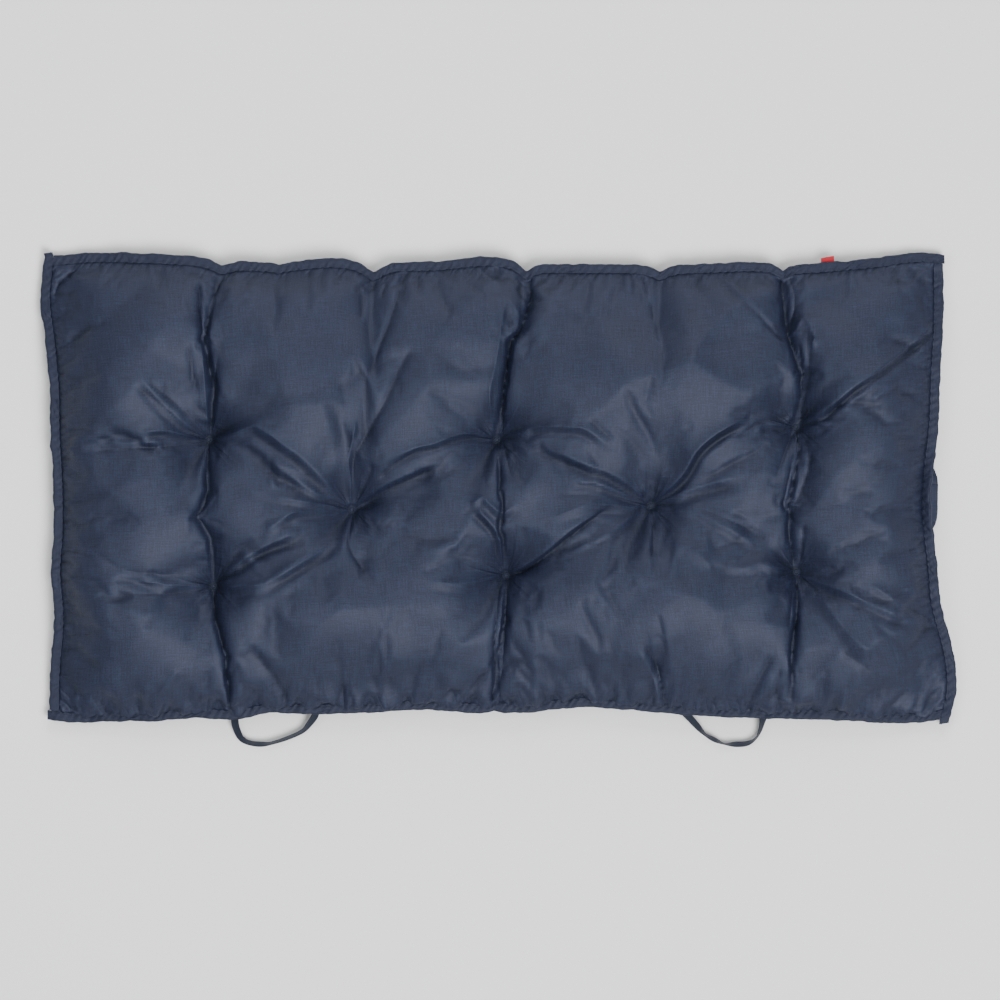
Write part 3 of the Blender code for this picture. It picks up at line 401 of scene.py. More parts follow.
def scallops(side, along, distance):
    """How far the seam of tape and cover swings inward with the ruffles: height * exp(-(d / reach)^2)."""
    return SCALLOP * ruffle(side, along).height * np.exp(-(distance / SCALLOP_REACH) ** 2)


def plan(u, v):
    """Plan position: the four rims blended across the cushion, u from left to right, v front to back.

    The seams' scallops are added to them.
    """
    front = long_side(u, FRONT_LEFT, FRONT, FRONT_RIGHT, FRONT_DENTS, 1)
    back = long_side(u, BACK_LEFT, BACK, BACK_RIGHT, BACK_DENTS, -1)
    left = short_side(v, FRONT_LEFT, LEFT, BACK_LEFT)
    right = short_side(v, FRONT_RIGHT, RIGHT, BACK_RIGHT)
    x, y = u * WIDTH, v * DEPTH
    from_left, from_right, from_front, from_back = side_distances(u, v)
    swing = np.stack([scallops("left", y, from_left) - scallops("right", y, from_right),
                      scallops("front", x, from_front) - scallops("back", x, from_back)], -1)
    u, v = u[..., None], v[..., None]
    corners = ((1 - u) * (1 - v) * np.array(FRONT_LEFT) + u * (1 - v) * np.array(FRONT_RIGHT)
               + (1 - u) * v * np.array(BACK_LEFT) + u * v * np.array(BACK_RIGHT)) * MM
    return (1 - v) * front + v * back + (1 - u) * left + u * right - corners + swing


def seam_height(u, v):
    """Height of the rim's middle plane: lower towards the four corners."""
    along_x = ease(np.minimum(u, 1 - u) * WIDTH, *CORNER_REACH)
    along_y = ease(np.minimum(v, 1 - v) * DEPTH, *CORNER_REACH)
    return CORNER_HEIGHT + (SEAM_HEIGHT - CORNER_HEIGHT) * (1 - (1 - along_x) * (1 - along_y))


def swell_in(distances, runs):
    """0 at the tape and 1 well inside: 1 - (1 - d / run)^2 for each side, multiplied together."""
    share = 1.0
    for distance, run in zip(distances, runs):
        share = share * (1 - (1 - np.clip(distance / run, 0, 1)) ** 2)
    return share


def beside_path(x, y, path):
    """Signed distance to a path (positive on its left), the place along it from 0 to 1, its left normal."""
    best = np.full(x.shape, 1e9)
    side, place = np.zeros(x.shape), np.zeros(x.shape)
    left = np.zeros(x.shape + (2,))
    for i in range(len(path) - 1):
        (ax, ay), (bx, by) = path[i], path[i + 1]
        dx, dy = bx - ax, by - ay
        length = math.hypot(dx, dy)
        t = np.clip(((x - ax) * dx + (y - ay) * dy) / length ** 2, 0, 1)
        off_x, off_y = x - ax - t * dx, y - ay - t * dy
        distance = np.hypot(off_x, off_y)
        nearer = distance < best
        best = np.where(nearer, distance, best)
        side = np.where(nearer, np.sign(dx * off_y - dy * off_x), side)
        place = np.where(nearer, (i + t) / (len(path) - 1), place)
        left[nearer] = (-dy / length, dx / length)
    return best * np.where(side < 0, -1, 1), place, left


def tuft_dips(x, y):
    """What the tufts leave of the crown.

    A share is lost in a narrow cone, exp(-(r / cone)^1.05), and the rest in a wide dish,
    exp(-(r / dish)^1.15). In a sector about the steep side both are shorter and the cone takes the
    greater share.
    """
    left_over = 1.0
    for tuft in TUFTS:
        dx, dy = x - tuft.x * MM, y - tuft.y * MM
        r = np.maximum(np.hypot(dx, dy) - TUFT_SEAT, 0)
        turn = np.arctan2(dy, dx) - math.radians(tuft.steep_side)
        sector = ease(np.cos(turn), math.cos(SECTOR_EDGE), math.cos(SECTOR_FULL))
        reach = TUFT_REACH - SECTOR_SHORTER * tuft.steepness * sector
        share = CONE_SHARE + SECTOR_STEEPER * sector
        cone = share * np.exp(-(r / (TUFT_CONE * reach)) ** 1.05)
        dish = (1 - share) * np.exp(-(r / (TUFT_DISH * reach)) ** 1.15)
        left_over = left_over * (1 - (cone + dish))
    return left_over


def channel_dips(x, y):
    """What the channels leave of the crown.

    Each path has a narrow cusp, exp(-(d / sharp)^1.2), in a wide trough, exp(-(d / soft)^1.6). The cusp
    is wider on the path's left.
    """
    left_over = 1.0
    for channel in CHANNELS:
        distance, place, _ = beside_path(x, y, [(p.x * MM, p.y * MM) for p in channel])
        share = np.interp(place, np.linspace(0, 1, len(channel)), [p.share for p in channel])
        sharp = np.where(distance > 0, CUSP_LEFT, CUSP_RIGHT) * CHANNEL_SHARP
        distance = np.abs(distance)
        cusp = CUSP_SHARE * np.exp(-(distance / sharp) ** 1.2)
        trough = TROUGH_SHARE * np.exp(-(distance / CHANNEL_SOFT) ** 1.6)
        left_over = left_over * (1 - share * (cusp + trough))
    return left_over


def slack_dips(x, y):
    """What the slacks leave of the crown: a bell trough along each line between two tufts."""
    left_over = 1.0
    for slack in SLACKS:
        ends = [(slack.x0 * MM, slack.y0 * MM), (slack.x1 * MM, slack.y1 * MM)]
        distance, _, _ = beside_path(x, y, ends)
        left_over = left_over * (1 - SLACK_DEPTH * slack.share * np.exp(-(distance / SLACK_WIDTH) ** 2))
    return left_over


def curl_share(y):
    """How far the right rim curls up: 1 at the middle of the curled stretch, 0 away from it."""
    return np.exp(-((y - CURL_MIDDLE) / CURL_SPREAD) ** 4)


def curl_up(points, seam, beyond):
    """Turn the part of the cover inside the right tape up about the seam, with the tape's curl."""
    x, y, z = np.moveaxis(points, -1, 0)
    curl = CURL_ANGLE * curl_share(y)
    dz = z - seam
    x_seam = x - np.maximum(beyond, 0)
    inside_tape = beyond > 0
    x = np.where(inside_tape, x_seam + beyond * np.cos(curl) - dz * np.sin(curl), x)
    z = np.where(inside_tape, seam + beyond * np.sin(curl) + dz * np.cos(curl), z)
    return np.stack([x, y, z], -1)


# Meshes

def surface(name, points, quads, triangles=(), uv=None, marks=None, smooth_angle=60):
    """A mesh object from whole arrays. uv is a place in metres of cloth for each point."""
    mesh = bpy.data.meshes.new(name)
    faces = [tuple(face) for kind in (quads, triangles) for face in np.asarray(kind).tolist()]
    mesh.from_pydata(np.asarray(points, float).reshape(-1, 3).tolist(), [], faces)
    corner_points = np.empty(len(mesh.loops), np.int32)
    mesh.loops.foreach_get("vertex_index", corner_points)
    if uv is not None:
        layer = mesh.uv_layers.new(name="cloth")
        layer.uv.foreach_set("vector", np.asarray(uv, np.float32).reshape(-1, 2)[corner_points].ravel())
    for mark, values in (marks or {}).items():
        kind, field = ("FLOAT", "value") if values.ndim == 1 else ("FLOAT_VECTOR", "vector")
        mesh.attributes.new(mark, kind, "POINT").data.foreach_set(field, values.astype(np.float32).ravel())
    mesh.shade_smooth()
    if smooth_angle < 180:
        mesh.set_sharp_from_angle(angle=math.radians(smooth_angle))
    thing = bpy.data.objects.new(name, mesh)
    bpy.context.scene.collection.objects.link(thing)
    return thing


def grid_quads(columns, rows, first=0, close_rows=False, flip=False):
    """Faces of a grid of points: column by column, wrapping round across the rows where closed."""
    i, j = np.meshgrid(np.arange(columns - 1), np.arange(rows if close_rows else rows - 1), indexing="ij")
    a, d = i * rows + j, i * rows + (j + 1) % rows
    quads = np.stack([a, a + rows, d + rows, d], -1).reshape(-1, 4) + first
    return quads[:, ::-1] if flip else quads


def run_lengths(points, axis):
    """Length of cloth from the middle of the grid, along one way of it."""
    steps = np.linalg.norm(np.diff(points, axis=axis), axis=-1)
    run = np.insert(np.cumsum(steps, axis=axis), 0, 0, axis=axis)
    return run - np.take(run, [run.shape[axis] // 2], axis=axis)


def cloth_strip(name, middle, thickness):
    """A strip of cloth as a closed shell: a grid of middle points, and half its thickness to either hand."""
    columns, rows = middle.shape[:2]
    normal = unit(np.cross(np.gradient(middle, axis=0), np.gradient(middle, axis=1)))
    loop = np.concatenate([middle + normal * thickness / 2, (middle - normal * thickness / 2)[:, ::-1]], 1)
    uv = np.stack([run_lengths(middle, 0), run_lengths(middle, 1)], -1)
    uv = np.concatenate([uv, uv[:, ::-1]], 1)
    ends = np.arange(rows - 1)
    start = np.stack([ends, ends + 1, 2 * rows - 2 - ends, 2 * rows - 1 - ends], -1)
    finish = start[:, ::-1] + (columns - 1) * 2 * rows
    quads = np.concatenate([grid_quads(columns, 2 * rows, close_rows=True), start, finish])
    return surface(name, loop, quads, uv=uv, smooth_angle=50)


# Cover

COVER_STEP, RIM_STEP, FINE_STEP = 0.0033, 0.0018, 0.0021
RIM_REACH, FINE_REACH = 0.020, 0.017
CREST_GRIP, CREST_PULL, CREST_ENDS = 0.0030, 0.85, (-0.02, 0.03)
RING_CLEAR, RIM_CLEAR, CREASE_CLEAR = 0.012, 0.006, 0.009
CREASE_REACH, CREASE_START, CREASE_END = 7, (-0.08, 0.16), (-0.08, 0.22)
NARROWEST, NARROWED_BY, NARROW_REACH = 0.28, 0.72, 0.042
TROUGH_PLACE, TROUGH_WIDTH = 1.9, 0.9       # in widths of the crease
RAY_SEED, RAY_FIELD, RAY_COUNT, RAY_STRAY = 41, 0.046, (11, 15), 0.32
RAY_LENGTH, RAY_RISE, RAY_WIDTH = (0.014, 0.042), (0.0006, 0.0022), (0.0009, 0.0017)
RAY_START, RAY_FULL, RAY_SPREAD = (0.003, 0.008), 0.4, 0.06
PLAN_BACK = 0.018                     # the plan's middle stands this far behind the frame's
PANEL_WIDTH, PANEL_DEPTH = 1.24, 0.64     # the cover's panels as they were cut
LOWER_STRIDE, RIM_LINES = 3, 9        # the lower cover keeps every third line, and nine at each rim
MARK_ROUNDS, MARK_HEIGHT, COVER_SMOOTH = 6, 0.0012, 78
SIM_STEP, SIM_FRAMES, SIM_PRESSURE, SIM_SLACK, SIM_CAP = 0.005, 18, 3.0, -0.02, 0.024
HOLD_RIM, HOLD_TUFT, HOLD_CHANNEL, HOLD_LEVELS = (0.001, 0.006), (0.008, 0.014), 0.8, 20


def cover_lines(breadth, fine):
    """Shares of the breadth for the grid lines: their spacing follows the cover's needs.

    The wanted spacing is coarse, finer at both rims and across the tufts; its inverse is added up along
    the breadth, and a line stands at every whole step of the sum.
    """
    inner = breadth - 2 * TAPE_WIDTH
    at = np.linspace(0, inner, 6001)
    spots = [(0.0, RIM_REACH, RIM_STEP), (inner, RIM_REACH, RIM_STEP)]
    spots += [(place - TAPE_WIDTH, FINE_REACH, FINE_STEP) for place in fine]
    gap = np.full(at.shape, COVER_STEP)
    for spot, reach, step in spots:
        gap = np.minimum(gap, COVER_STEP + (step - COVER_STEP) * np.exp(-((at - spot) / reach) ** 4))
    count = np.insert(np.cumsum((1 / gap[1:] + 1 / gap[:-1]) / 2 * np.diff(at)), 0, 0)
    inside = np.interp(np.linspace(0, count[-1], round(count[-1]) + 1), count, at)
    rim = np.array([-RAW_EDGE, -LIP_STEP])
    return (TAPE_WIDTH + np.concatenate([rim, inside, inner - rim[::-1]])) / breadth


def ring_distance(x, y):
    """Distance to the nearest tuft."""
    return np.minimum.reduce([np.hypot(x - t.x * MM, y - t.y * MM) for t in TUFTS])


def stuffed_cover(u, v):
    """The upper cover before its creases.

    It is the rim's height, a quick puff behind the tape, 1 - exp(-d / run), and the crown above it, times
    what tufts, channels and slacks leave, plus soft waves where the filling lies unevenly.
    """
    xy = plan(u, v)
    x, y = xy[..., 0], xy[..., 1]
    distances = side_distances(u, v)
    signed = np.minimum.reduce(distances)
    inside = np.maximum(signed, 0)
    left_over = tuft_dips(x, y) * channel_dips(x, y) * slack_dips(x, y)
    crown = swell_in(distances, CROWN_RUNS)
    puff = ROUND * (1 - np.exp(-inside / ROUND_RUN))
    uneven = waves(x, y, LUMPS) + waves(x, y, SMALL_LUMPS)
    lip = LIP_RISE * ease(signed, -LIP_STEP, 0)
    z = seam_height(u, v) + RIM_HALF + lip + (puff + CROWN * crown) * left_over
    z = z + uneven * np.minimum(crown * 2, 1) * ease(left_over, *LUMPS_FADE)
    return np.stack([x, y, z], -1)


def crease_paths():
    """Each crease with its smoothed path in metres."""
    for crease in CREASES:
        knots = np.array(crease.path, float) * MM
        yield crease, smooth(np.arange(len(knots)), knots, np.linspace(0, len(knots) - 1, 4 * len(knots) - 3))


def close_to(path, reach, x, y):
    """True for the points in the path's box, widened by the reach."""
    low, high = path.min(0) - reach, path.max(0) + reach
    return (x > low[0]) & (x < high[0]) & (y > low[1]) & (y < high[1])


def sharpened(u, v):
    """The grid with its points drawn sideways towards the crest of each crease, so that it is crisp.

    A point at a distance d moves by a share of d * exp(-(d / grip)^2).
    """
    start = plan(u, v)
    x, y = np.moveaxis(start.copy(), -1, 0)
    free = ease(ring_distance(x, y), TUFT_SEAT, RING_CLEAR) * ease(
        np.minimum.reduce(side_distances(u, v)), 0, RIM_CLEAR)
    for _, path in crease_paths():
        near = close_to(path, 3 * CREST_GRIP, x, y)
        side, place, left = beside_path(x[near], y[near], path)
        grip = np.exp(-(side / CREST_GRIP) ** 2) * ease(place, *CREST_ENDS) * ease(1 - place, *CREST_ENDS)
        pull = left * (CREST_PULL * side * grip * free[near])[..., None]
        x[near] -= pull[..., 0]
        y[near] -= pull[..., 1]
    return u + (x - start[..., 0]) / WIDTH, v + (y - start[..., 1]) / DEPTH


def crease_relief(x, y, r):
    """Height and sideways shift of the creases.

    Across its path a crease is rise * exp(-(d / width)^0.9), with a trough of the other sign beside
    it on its right; along the path it grows from its start and dies away to its end. It is narrower
    towards a tuft, where r is short.
    """
    height, shift = np.zeros(x.shape), np.zeros(x.shape + (2,))
    for crease, path in crease_paths():
        near = close_to(path, CREASE_REACH * max(crease.left, crease.right) * MM, x, y)
        side, place, left = beside_path(x[near], y[near], path)
        width = np.where(side > 0, crease.left * MM, crease.right * MM)
        width = width * (NARROWEST + NARROWED_BY * ease(r[near], 0, NARROW_REACH))
        across = np.abs(side) / width
        ridge = np.exp(-across ** 0.9)
        beside = np.exp(-((across - TROUGH_PLACE) / TROUGH_WIDTH) ** 2)
        trough = np.where(side < 0, crease.trough * beside, 0.0)
        ends = ease(place, *CREASE_START) * ease(1 - place, *CREASE_END)
        height[near] += crease.rise * MM * ends * (ridge - trough)
        shift[near] -= left * (crease.lean * MM * ends * ridge)[..., None]
    return height, shift


def tuft_rays(x, y):
    """Fine gathers that run out from each tuft: rise * exp(-(d / width)^1.3), dying away outwards."""
    dice = np.random.default_rng(RAY_SEED)
    height = np.zeros(x.shape)
    for tuft in TUFTS:
        dx, dy = x - tuft.x * MM, y - tuft.y * MM
        near = np.hypot(dx, dy) < RAY_FIELD
        dx, dy = dx[near], dy[near]
        relief = np.zeros(dx.shape)
        count = int(dice.integers(*RAY_COUNT))
        turns = (np.arange(count) + dice.uniform(-RAY_STRAY, RAY_STRAY, count)) * 2 * math.pi / count
        for turn in turns:
            length, rise, width = (dice.uniform(*ends) for ends in (RAY_LENGTH, RAY_RISE, RAY_WIDTH))
            along = dx * math.cos(turn) + dy * math.sin(turn)
            across = np.abs(dy * math.cos(turn) - dx * math.sin(turn))
            across = across / (width + RAY_SPREAD * np.maximum(along, 0))
            ray = rise * np.exp(-across ** 1.3) * ease(along, *RAY_START)
            relief += ray * (1 - ease(along, RAY_FULL * length, length))
        height[near] += relief
    return height


Gathers = namedtuple("Gathers", "gap reach width rise lean seed")
GATHERS = Gathers((0.0200, 0.0700), (0.0200, 0.0480), (0.0018, 0.0034), (0.0012, 0.0032), 0.22, 18)
GATHER_SIGNS, GATHER_SLANTS, GATHER_FULL, GATHER_FADE = (0.8, -1.0), (-0.6, 1.2), 0.12, 0.3
RUFFLE_FIELD, RUFFLE_BLEND, RUFFLE_RISE = 0.03, 0.004, 0.0026


def seam_gathers(u, v):
    """The tape's ruffles where they run on into the cover, and longer gathers far apart between them.

    A ruffle starts as high as the tape's pucker, has its own height a few millimetres in, and dies away
    as exp(-(d / reach)^1.5). A gather is rise * exp(-(s / width)^1.4) across; it starts at the tape and
    is gone at its own reach.
    """
    height = np.zeros(u.shape)
    left, right, front, back = side_distances(u, v)
    for side, inward, along in (("left", left, v * DEPTH), ("right", right, v * DEPTH),
                                ("front", front, u * WIDTH), ("back", back, u * WIDTH)):
        near = inward < RUFFLE_FIELD
        depth = np.maximum(inward[near], 0)
        wave = ruffle(side, along[near] + RUFFLE_SLANT[side] * depth)
        blend = ease(depth, 0, RUFFLE_BLEND)
        rise = (1 - blend) * pucker(wave.height) + blend * RUFFLE_RISE * wave.height
        height[near] += rise * np.exp(-(depth / wave.reach) ** 1.5)
    dice = np.random.default_rng(GATHERS.seed)
    for inward, along, length in ((front, u * WIDTH, WIDTH), (back, u * WIDTH, WIDTH),
                                  (left, v * DEPTH, DEPTH), (right, v * DEPTH, DEPTH)):
        place = dice.uniform(*GATHERS.gap)
        while place < length:
            reach, width = dice.uniform(*GATHERS.reach), dice.uniform(*GATHERS.width)
            rise = dice.uniform(*GATHERS.rise) * dice.choice(GATHER_SIGNS)
            slant = GATHERS.lean * dice.uniform(*GATHER_SLANTS)
            near = (np.abs(along - place) < reach + 0.010) & (inward < reach) & (inward > -0.001)
            depth = np.maximum(inward[near], 0) / reach
            across = np.abs(along[near] - place - slant * inward[near]) / (width * (1 + depth))
            gather = rise * np.exp(-across ** 1.4) * ease(depth, 0, GATHER_FULL)
            height[near] += gather * (1 - ease(depth, GATHER_FADE, 1))
            place += dice.uniform(*GATHERS.gap)
    return height


Overhang = namedtuple("Overhang", "left right front back")
ABOVE, BELOW = Overhang(0.6, 1.2, 7.0, 0.4), Overhang(0.5, 0.0, 2.5, 0.5)     # in millimetres
BULGE_START, BULGE_FULL, BULGE_RUN, BULGE_CORNER = 0.0003, 0.004, 0.024, 0.03


def overhang(u, v, reach):
    """How far the cover bulges outward over the tape on each side.

    It is nothing at the tape's inner edge, full a few millimetres inside it, and dies away from there as
    exp(-(d / run)^1.5). It is uneven along the seam and fades out at the corners.
    """
    left, right, front, back = distances = side_distances(u, v)
    to_left, to_right, to_front, to_back = (
        np.exp(-(np.maximum(d - BULGE_FULL, 0) / BULGE_RUN) ** 1.5) * ease(d, BULGE_START, BULGE_FULL)
        for d in distances)
    by_ends = ease(np.minimum(front, back), 0.0, BULGE_CORNER)
    by_sides = ease(np.minimum(left, right), 0.0, BULGE_CORNER)
    uneven = 1 + waves(u * WIDTH, v * DEPTH, BULGE_WAVES)
    across = (reach.right * to_right - reach.left * to_left) * by_ends
    along = (reach.back * to_back - reach.front * to_front) * by_sides
    return np.stack([across * uneven, along * uneven], -1) * MM


Facets = namedtuple("Facets", "count bend seed")
DOMES, COUNTER_DOMES = Facets(90, 0.33, 51), Facets(70, 0.38, 52)
DOME_X, DOME_Y, DOME_TURN, DOME_LONG = (-0.6, 0.6), (-0.3, 0.33), (-0.3, 1.3), (0.40, 0.9)
DOME_BLEND, BOB_RUN = 5000.0, 0.006


def facets(x, y, kind):
    """Shallow domes that meet in soft creases.

    They are the square of the distance to the nearest of some random places, over twice the bend radius,
    blended as -log(sum(exp(-k d^2))) / k. Distances along a dome's own way count less.
    """
    dice = np.random.default_rng(kind.seed)
    total = np.full(x.shape, 1e-30)
    for _ in range(kind.count):
        cx, cy = dice.uniform(*DOME_X), dice.uniform(*DOME_Y)
        turn, long = dice.uniform(*DOME_TURN), dice.uniform(*DOME_LONG)
        a = (x - cx) * math.cos(turn) + (y - cy) * math.sin(turn)
        b = (y - cy) * math.cos(turn) - (x - cx) * math.sin(turn)
        total += np.exp(-DOME_BLEND * ((a * long) ** 2 + b ** 2))
    return -np.log(total) / DOME_BLEND / (2 * kind.bend)


def creased(points, u, v):
    """The stuffed cover with its creases, tuft rays and seam gathers, faded out at tufts and tape."""
    x, y = np.moveaxis(plan(u, v), -1, 0)
    signed = np.minimum.reduce(side_distances(u, v))
    inside, lip = np.maximum(signed, 0), ease(signed, -LIP_STEP, 0)
    r = ring_distance(x, y)
    free = ease(r, TUFT_SEAT, CREASE_CLEAR) * ease(inside, 0.0, 0.005)
    height, shift = crease_relief(x, y, r)
    uneven = facets(x, y, DOMES) - facets(x, y, COUNTER_DOMES)
    height = height + tuft_rays(x, y) + uneven * ease(inside, 0.005, 0.04) * ease(r, 0.02, 0.08)
    z = points[..., 2] + height * free + seam_gathers(u, v) * lip * ease(r, 0.02, 0.04)
    z = z + bob(x, y) * lip * np.exp(-(inside / BOB_RUN) ** 2)
    xy = points[..., :2] + shift * free[..., None]
    return np.concatenate([xy, z[..., None]], -1)


def lower_cover(u, v):
    """The lower cover: it bellies down below the rim, lies flat on the ground, and the tufts lift it.

    Where the right rim curls up, it swells out past the tape.
    """
    xy = plan(u, v)
    x, y = xy[..., 0], xy[..., 1]
    distances = side_distances(u, v)
    inside = np.maximum(np.minimum.reduce(distances), 0)
    puff = PUFF * (1 - np.exp(-inside / PUFF_RUN))
    lift = TUFT_LIFT * (1 - tuft_dips(x, y) / TUFT_FREE)
    hanging = seam_height(u, v) - RIM_HALF - puff - BELLY * swell_in(distances, BELLY_RUNS)
    hanging = hanging - GATHERS_BELOW * seam_gathers(u, v) * ease(inside, 0.0005, 0.003)
    wrinkles = (RAYS_BELOW * tuft_rays(x, y) + waves(x, y, WRINKLES_BELOW)) * ease(lift, 0.0005, 0.004)
    lifted = lift - wrinkles * ease(ring_distance(x, y), TUFT_SEAT, 0.011)
    z = np.maximum(np.maximum(hanging, lifted), 0)
    depth = distances[1]
    bulge = ease(depth, 0.002, SWELL_PEAK) * np.exp(-(np.maximum(depth - SWELL_PEAK, 0) / SWELL_RUN) ** 2)
    return np.stack([x + SWELL * curl_share(y) * bulge, y, z], -1)


def rim_ring(columns, rows):
    """The points round a grid's edge, counter-clockwise seen from above."""
    i, j = np.arange(columns), np.arange(rows)
    return np.concatenate([i * rows, (columns - 1) * rows + j[1:], i[-2::-1] * rows + rows - 1, j[-2:0:-1]])


def kept_lines(count):
    """Every third line and all those at the rim, as places in the row of lines."""
    middle = np.arange(RIM_LINES, count - RIM_LINES, LOWER_STRIDE)
    return np.concatenate([np.arange(RIM_LINES), middle[1:], np.arange(count - RIM_LINES, count)])


def relief_marks(z):
    """How far each point stands above its neighbourhood: height less its mean over a few millimetres."""
    mean = np.pad(z, 1, mode="edge")
    for _ in range(MARK_ROUNDS):
        mean = (mean[:-2, 1:-1] + mean[2:, 1:-1] + mean[1:-1, :-2] + mean[1:-1, 2:] + mean[1:-1, 1:-1]) / 5
        mean = np.pad(mean, 1, mode="edge")
    return np.clip((z - mean[1:-1, 1:-1]) / MARK_HEIGHT, -1, 1)


def tuft_ways(u, v):
    """The way from the nearest tuft, as cosine and sine, and the distance, for the finish's fine pleats."""
    x, y = np.moveaxis(plan(u, v), -1, 0)
    ways = np.stack([np.stack([x - t.x * MM, y - t.y * MM], -1) for t in TUFTS])
    far = np.linalg.norm(ways, axis=-1)
    nearest = far.argmin(0)[None]
    way = np.take_along_axis(ways, nearest[..., None], 0)[0]
    r = np.take_along_axis(far, nearest, 0)[0][..., None]
    return np.concatenate([way / np.maximum(r, 1e-6), r], -1)


def finished_half(points, u, v, reach):
    """An upper or lower cover bulged out over the tape and curled up with it."""
    points[..., :2] += overhang(u, v, reach)
    return curl_up(points, seam_height(u, v), -side_distances(u, v)[1])


def quilted_cover():
    """The filled cover: upper and lower covers as two grids that meet in a narrow wall inside the tape."""
    u_lines = cover_lines(WIDTH, [t.x * MM + WIDTH / 2 for t in TUFTS])
    v_lines = cover_lines(DEPTH, [t.y * MM + DEPTH / 2 - PLAN_BACK for t in TUFTS])
    u, v = sharpened(*np.meshgrid(u_lines, v_lines, indexing="ij"))
    upper = stuffed_cover(u, v)
    upper = upper + settled_by_cloth(u, v)
    upper = finished_half(creased(upper, u, v), u, v, ABOVE)
    keep_u, keep_v = kept_lines(len(u_lines)), kept_lines(len(v_lines))
    lu, lv = u[np.ix_(keep_u, keep_v)], v[np.ix_(keep_u, keep_v)]
    lower = finished_half(lower_cover(lu, lv), lu, lv, BELOW)
    columns, rows = u.shape
    ring = rim_ring(columns, rows)
    below_u = np.searchsorted(keep_u, ring // rows, side="right") - 1
    below_v = np.searchsorted(keep_v, ring % rows, side="right") - 1
    partner = columns * rows + below_u * len(keep_v) + below_v
    after, partner_after = np.roll(ring, -1), np.roll(partner, -1)
    moved = partner != partner_after
    wall = np.concatenate([np.stack([ring, partner, after], -1),
                           np.stack([after, partner, partner_after], -1)[moved]])
    quads = np.concatenate([grid_quads(columns, rows),
                            grid_quads(len(keep_u), len(keep_v), columns * rows, flip=True)])
    uv = [np.stack([a * PANEL_WIDTH, b * PANEL_DEPTH], -1).reshape(-1, 2) for a, b in ((u, v), (lu, lv))]
    ways_below = np.tile((1.0, 0.0, 1.0), (lu.size, 1))
    # The fold mark is used only to paint highlights on the crests and shade in the hollows of the upper
    # cover; the lower cover gets none.
    marks = {"fold": np.concatenate([relief_marks(upper[..., 2]).ravel(), np.zeros(lu.size)]),
             "tuft_way": np.concatenate([tuft_ways(u, v).reshape(-1, 3), ways_below])}
    return surface("quilted_cover", np.concatenate([upper.reshape(-1, 3), lower.reshape(-1, 3)]), quads, wall,
                   np.concatenate(uv), marks, COVER_SMOOTH)


def read_between(field, at_u, at_v):
    """A grid of vectors read at places in steps of the grid, by the Catmull-Rom cubic both ways."""
    i = np.clip(np.floor(at_u).astype(int), 0, field.shape[0] - 2)
    j = np.clip(np.floor(at_v).astype(int), 0, field.shape[1] - 2)
    wide = np.pad(field, ((1, 1), (1, 1), (0, 0)), mode="edge")
    total = 0.0
    shares = [[-0.5 * q + q * q - 0.5 * q ** 3, 1 - 2.5 * q * q + 1.5 * q ** 3,
               0.5 * q + 2 * q * q - 1.5 * q ** 3, 0.5 * (q ** 3 - q * q)] for q in (at_u - i, at_v - j)]
    for a, share_u in enumerate(shares[0]):
        for b, share_v in enumerate(shares[1]):
            total = total + (share_u * share_v)[..., None] * wide[i + a, j + b]
    return total


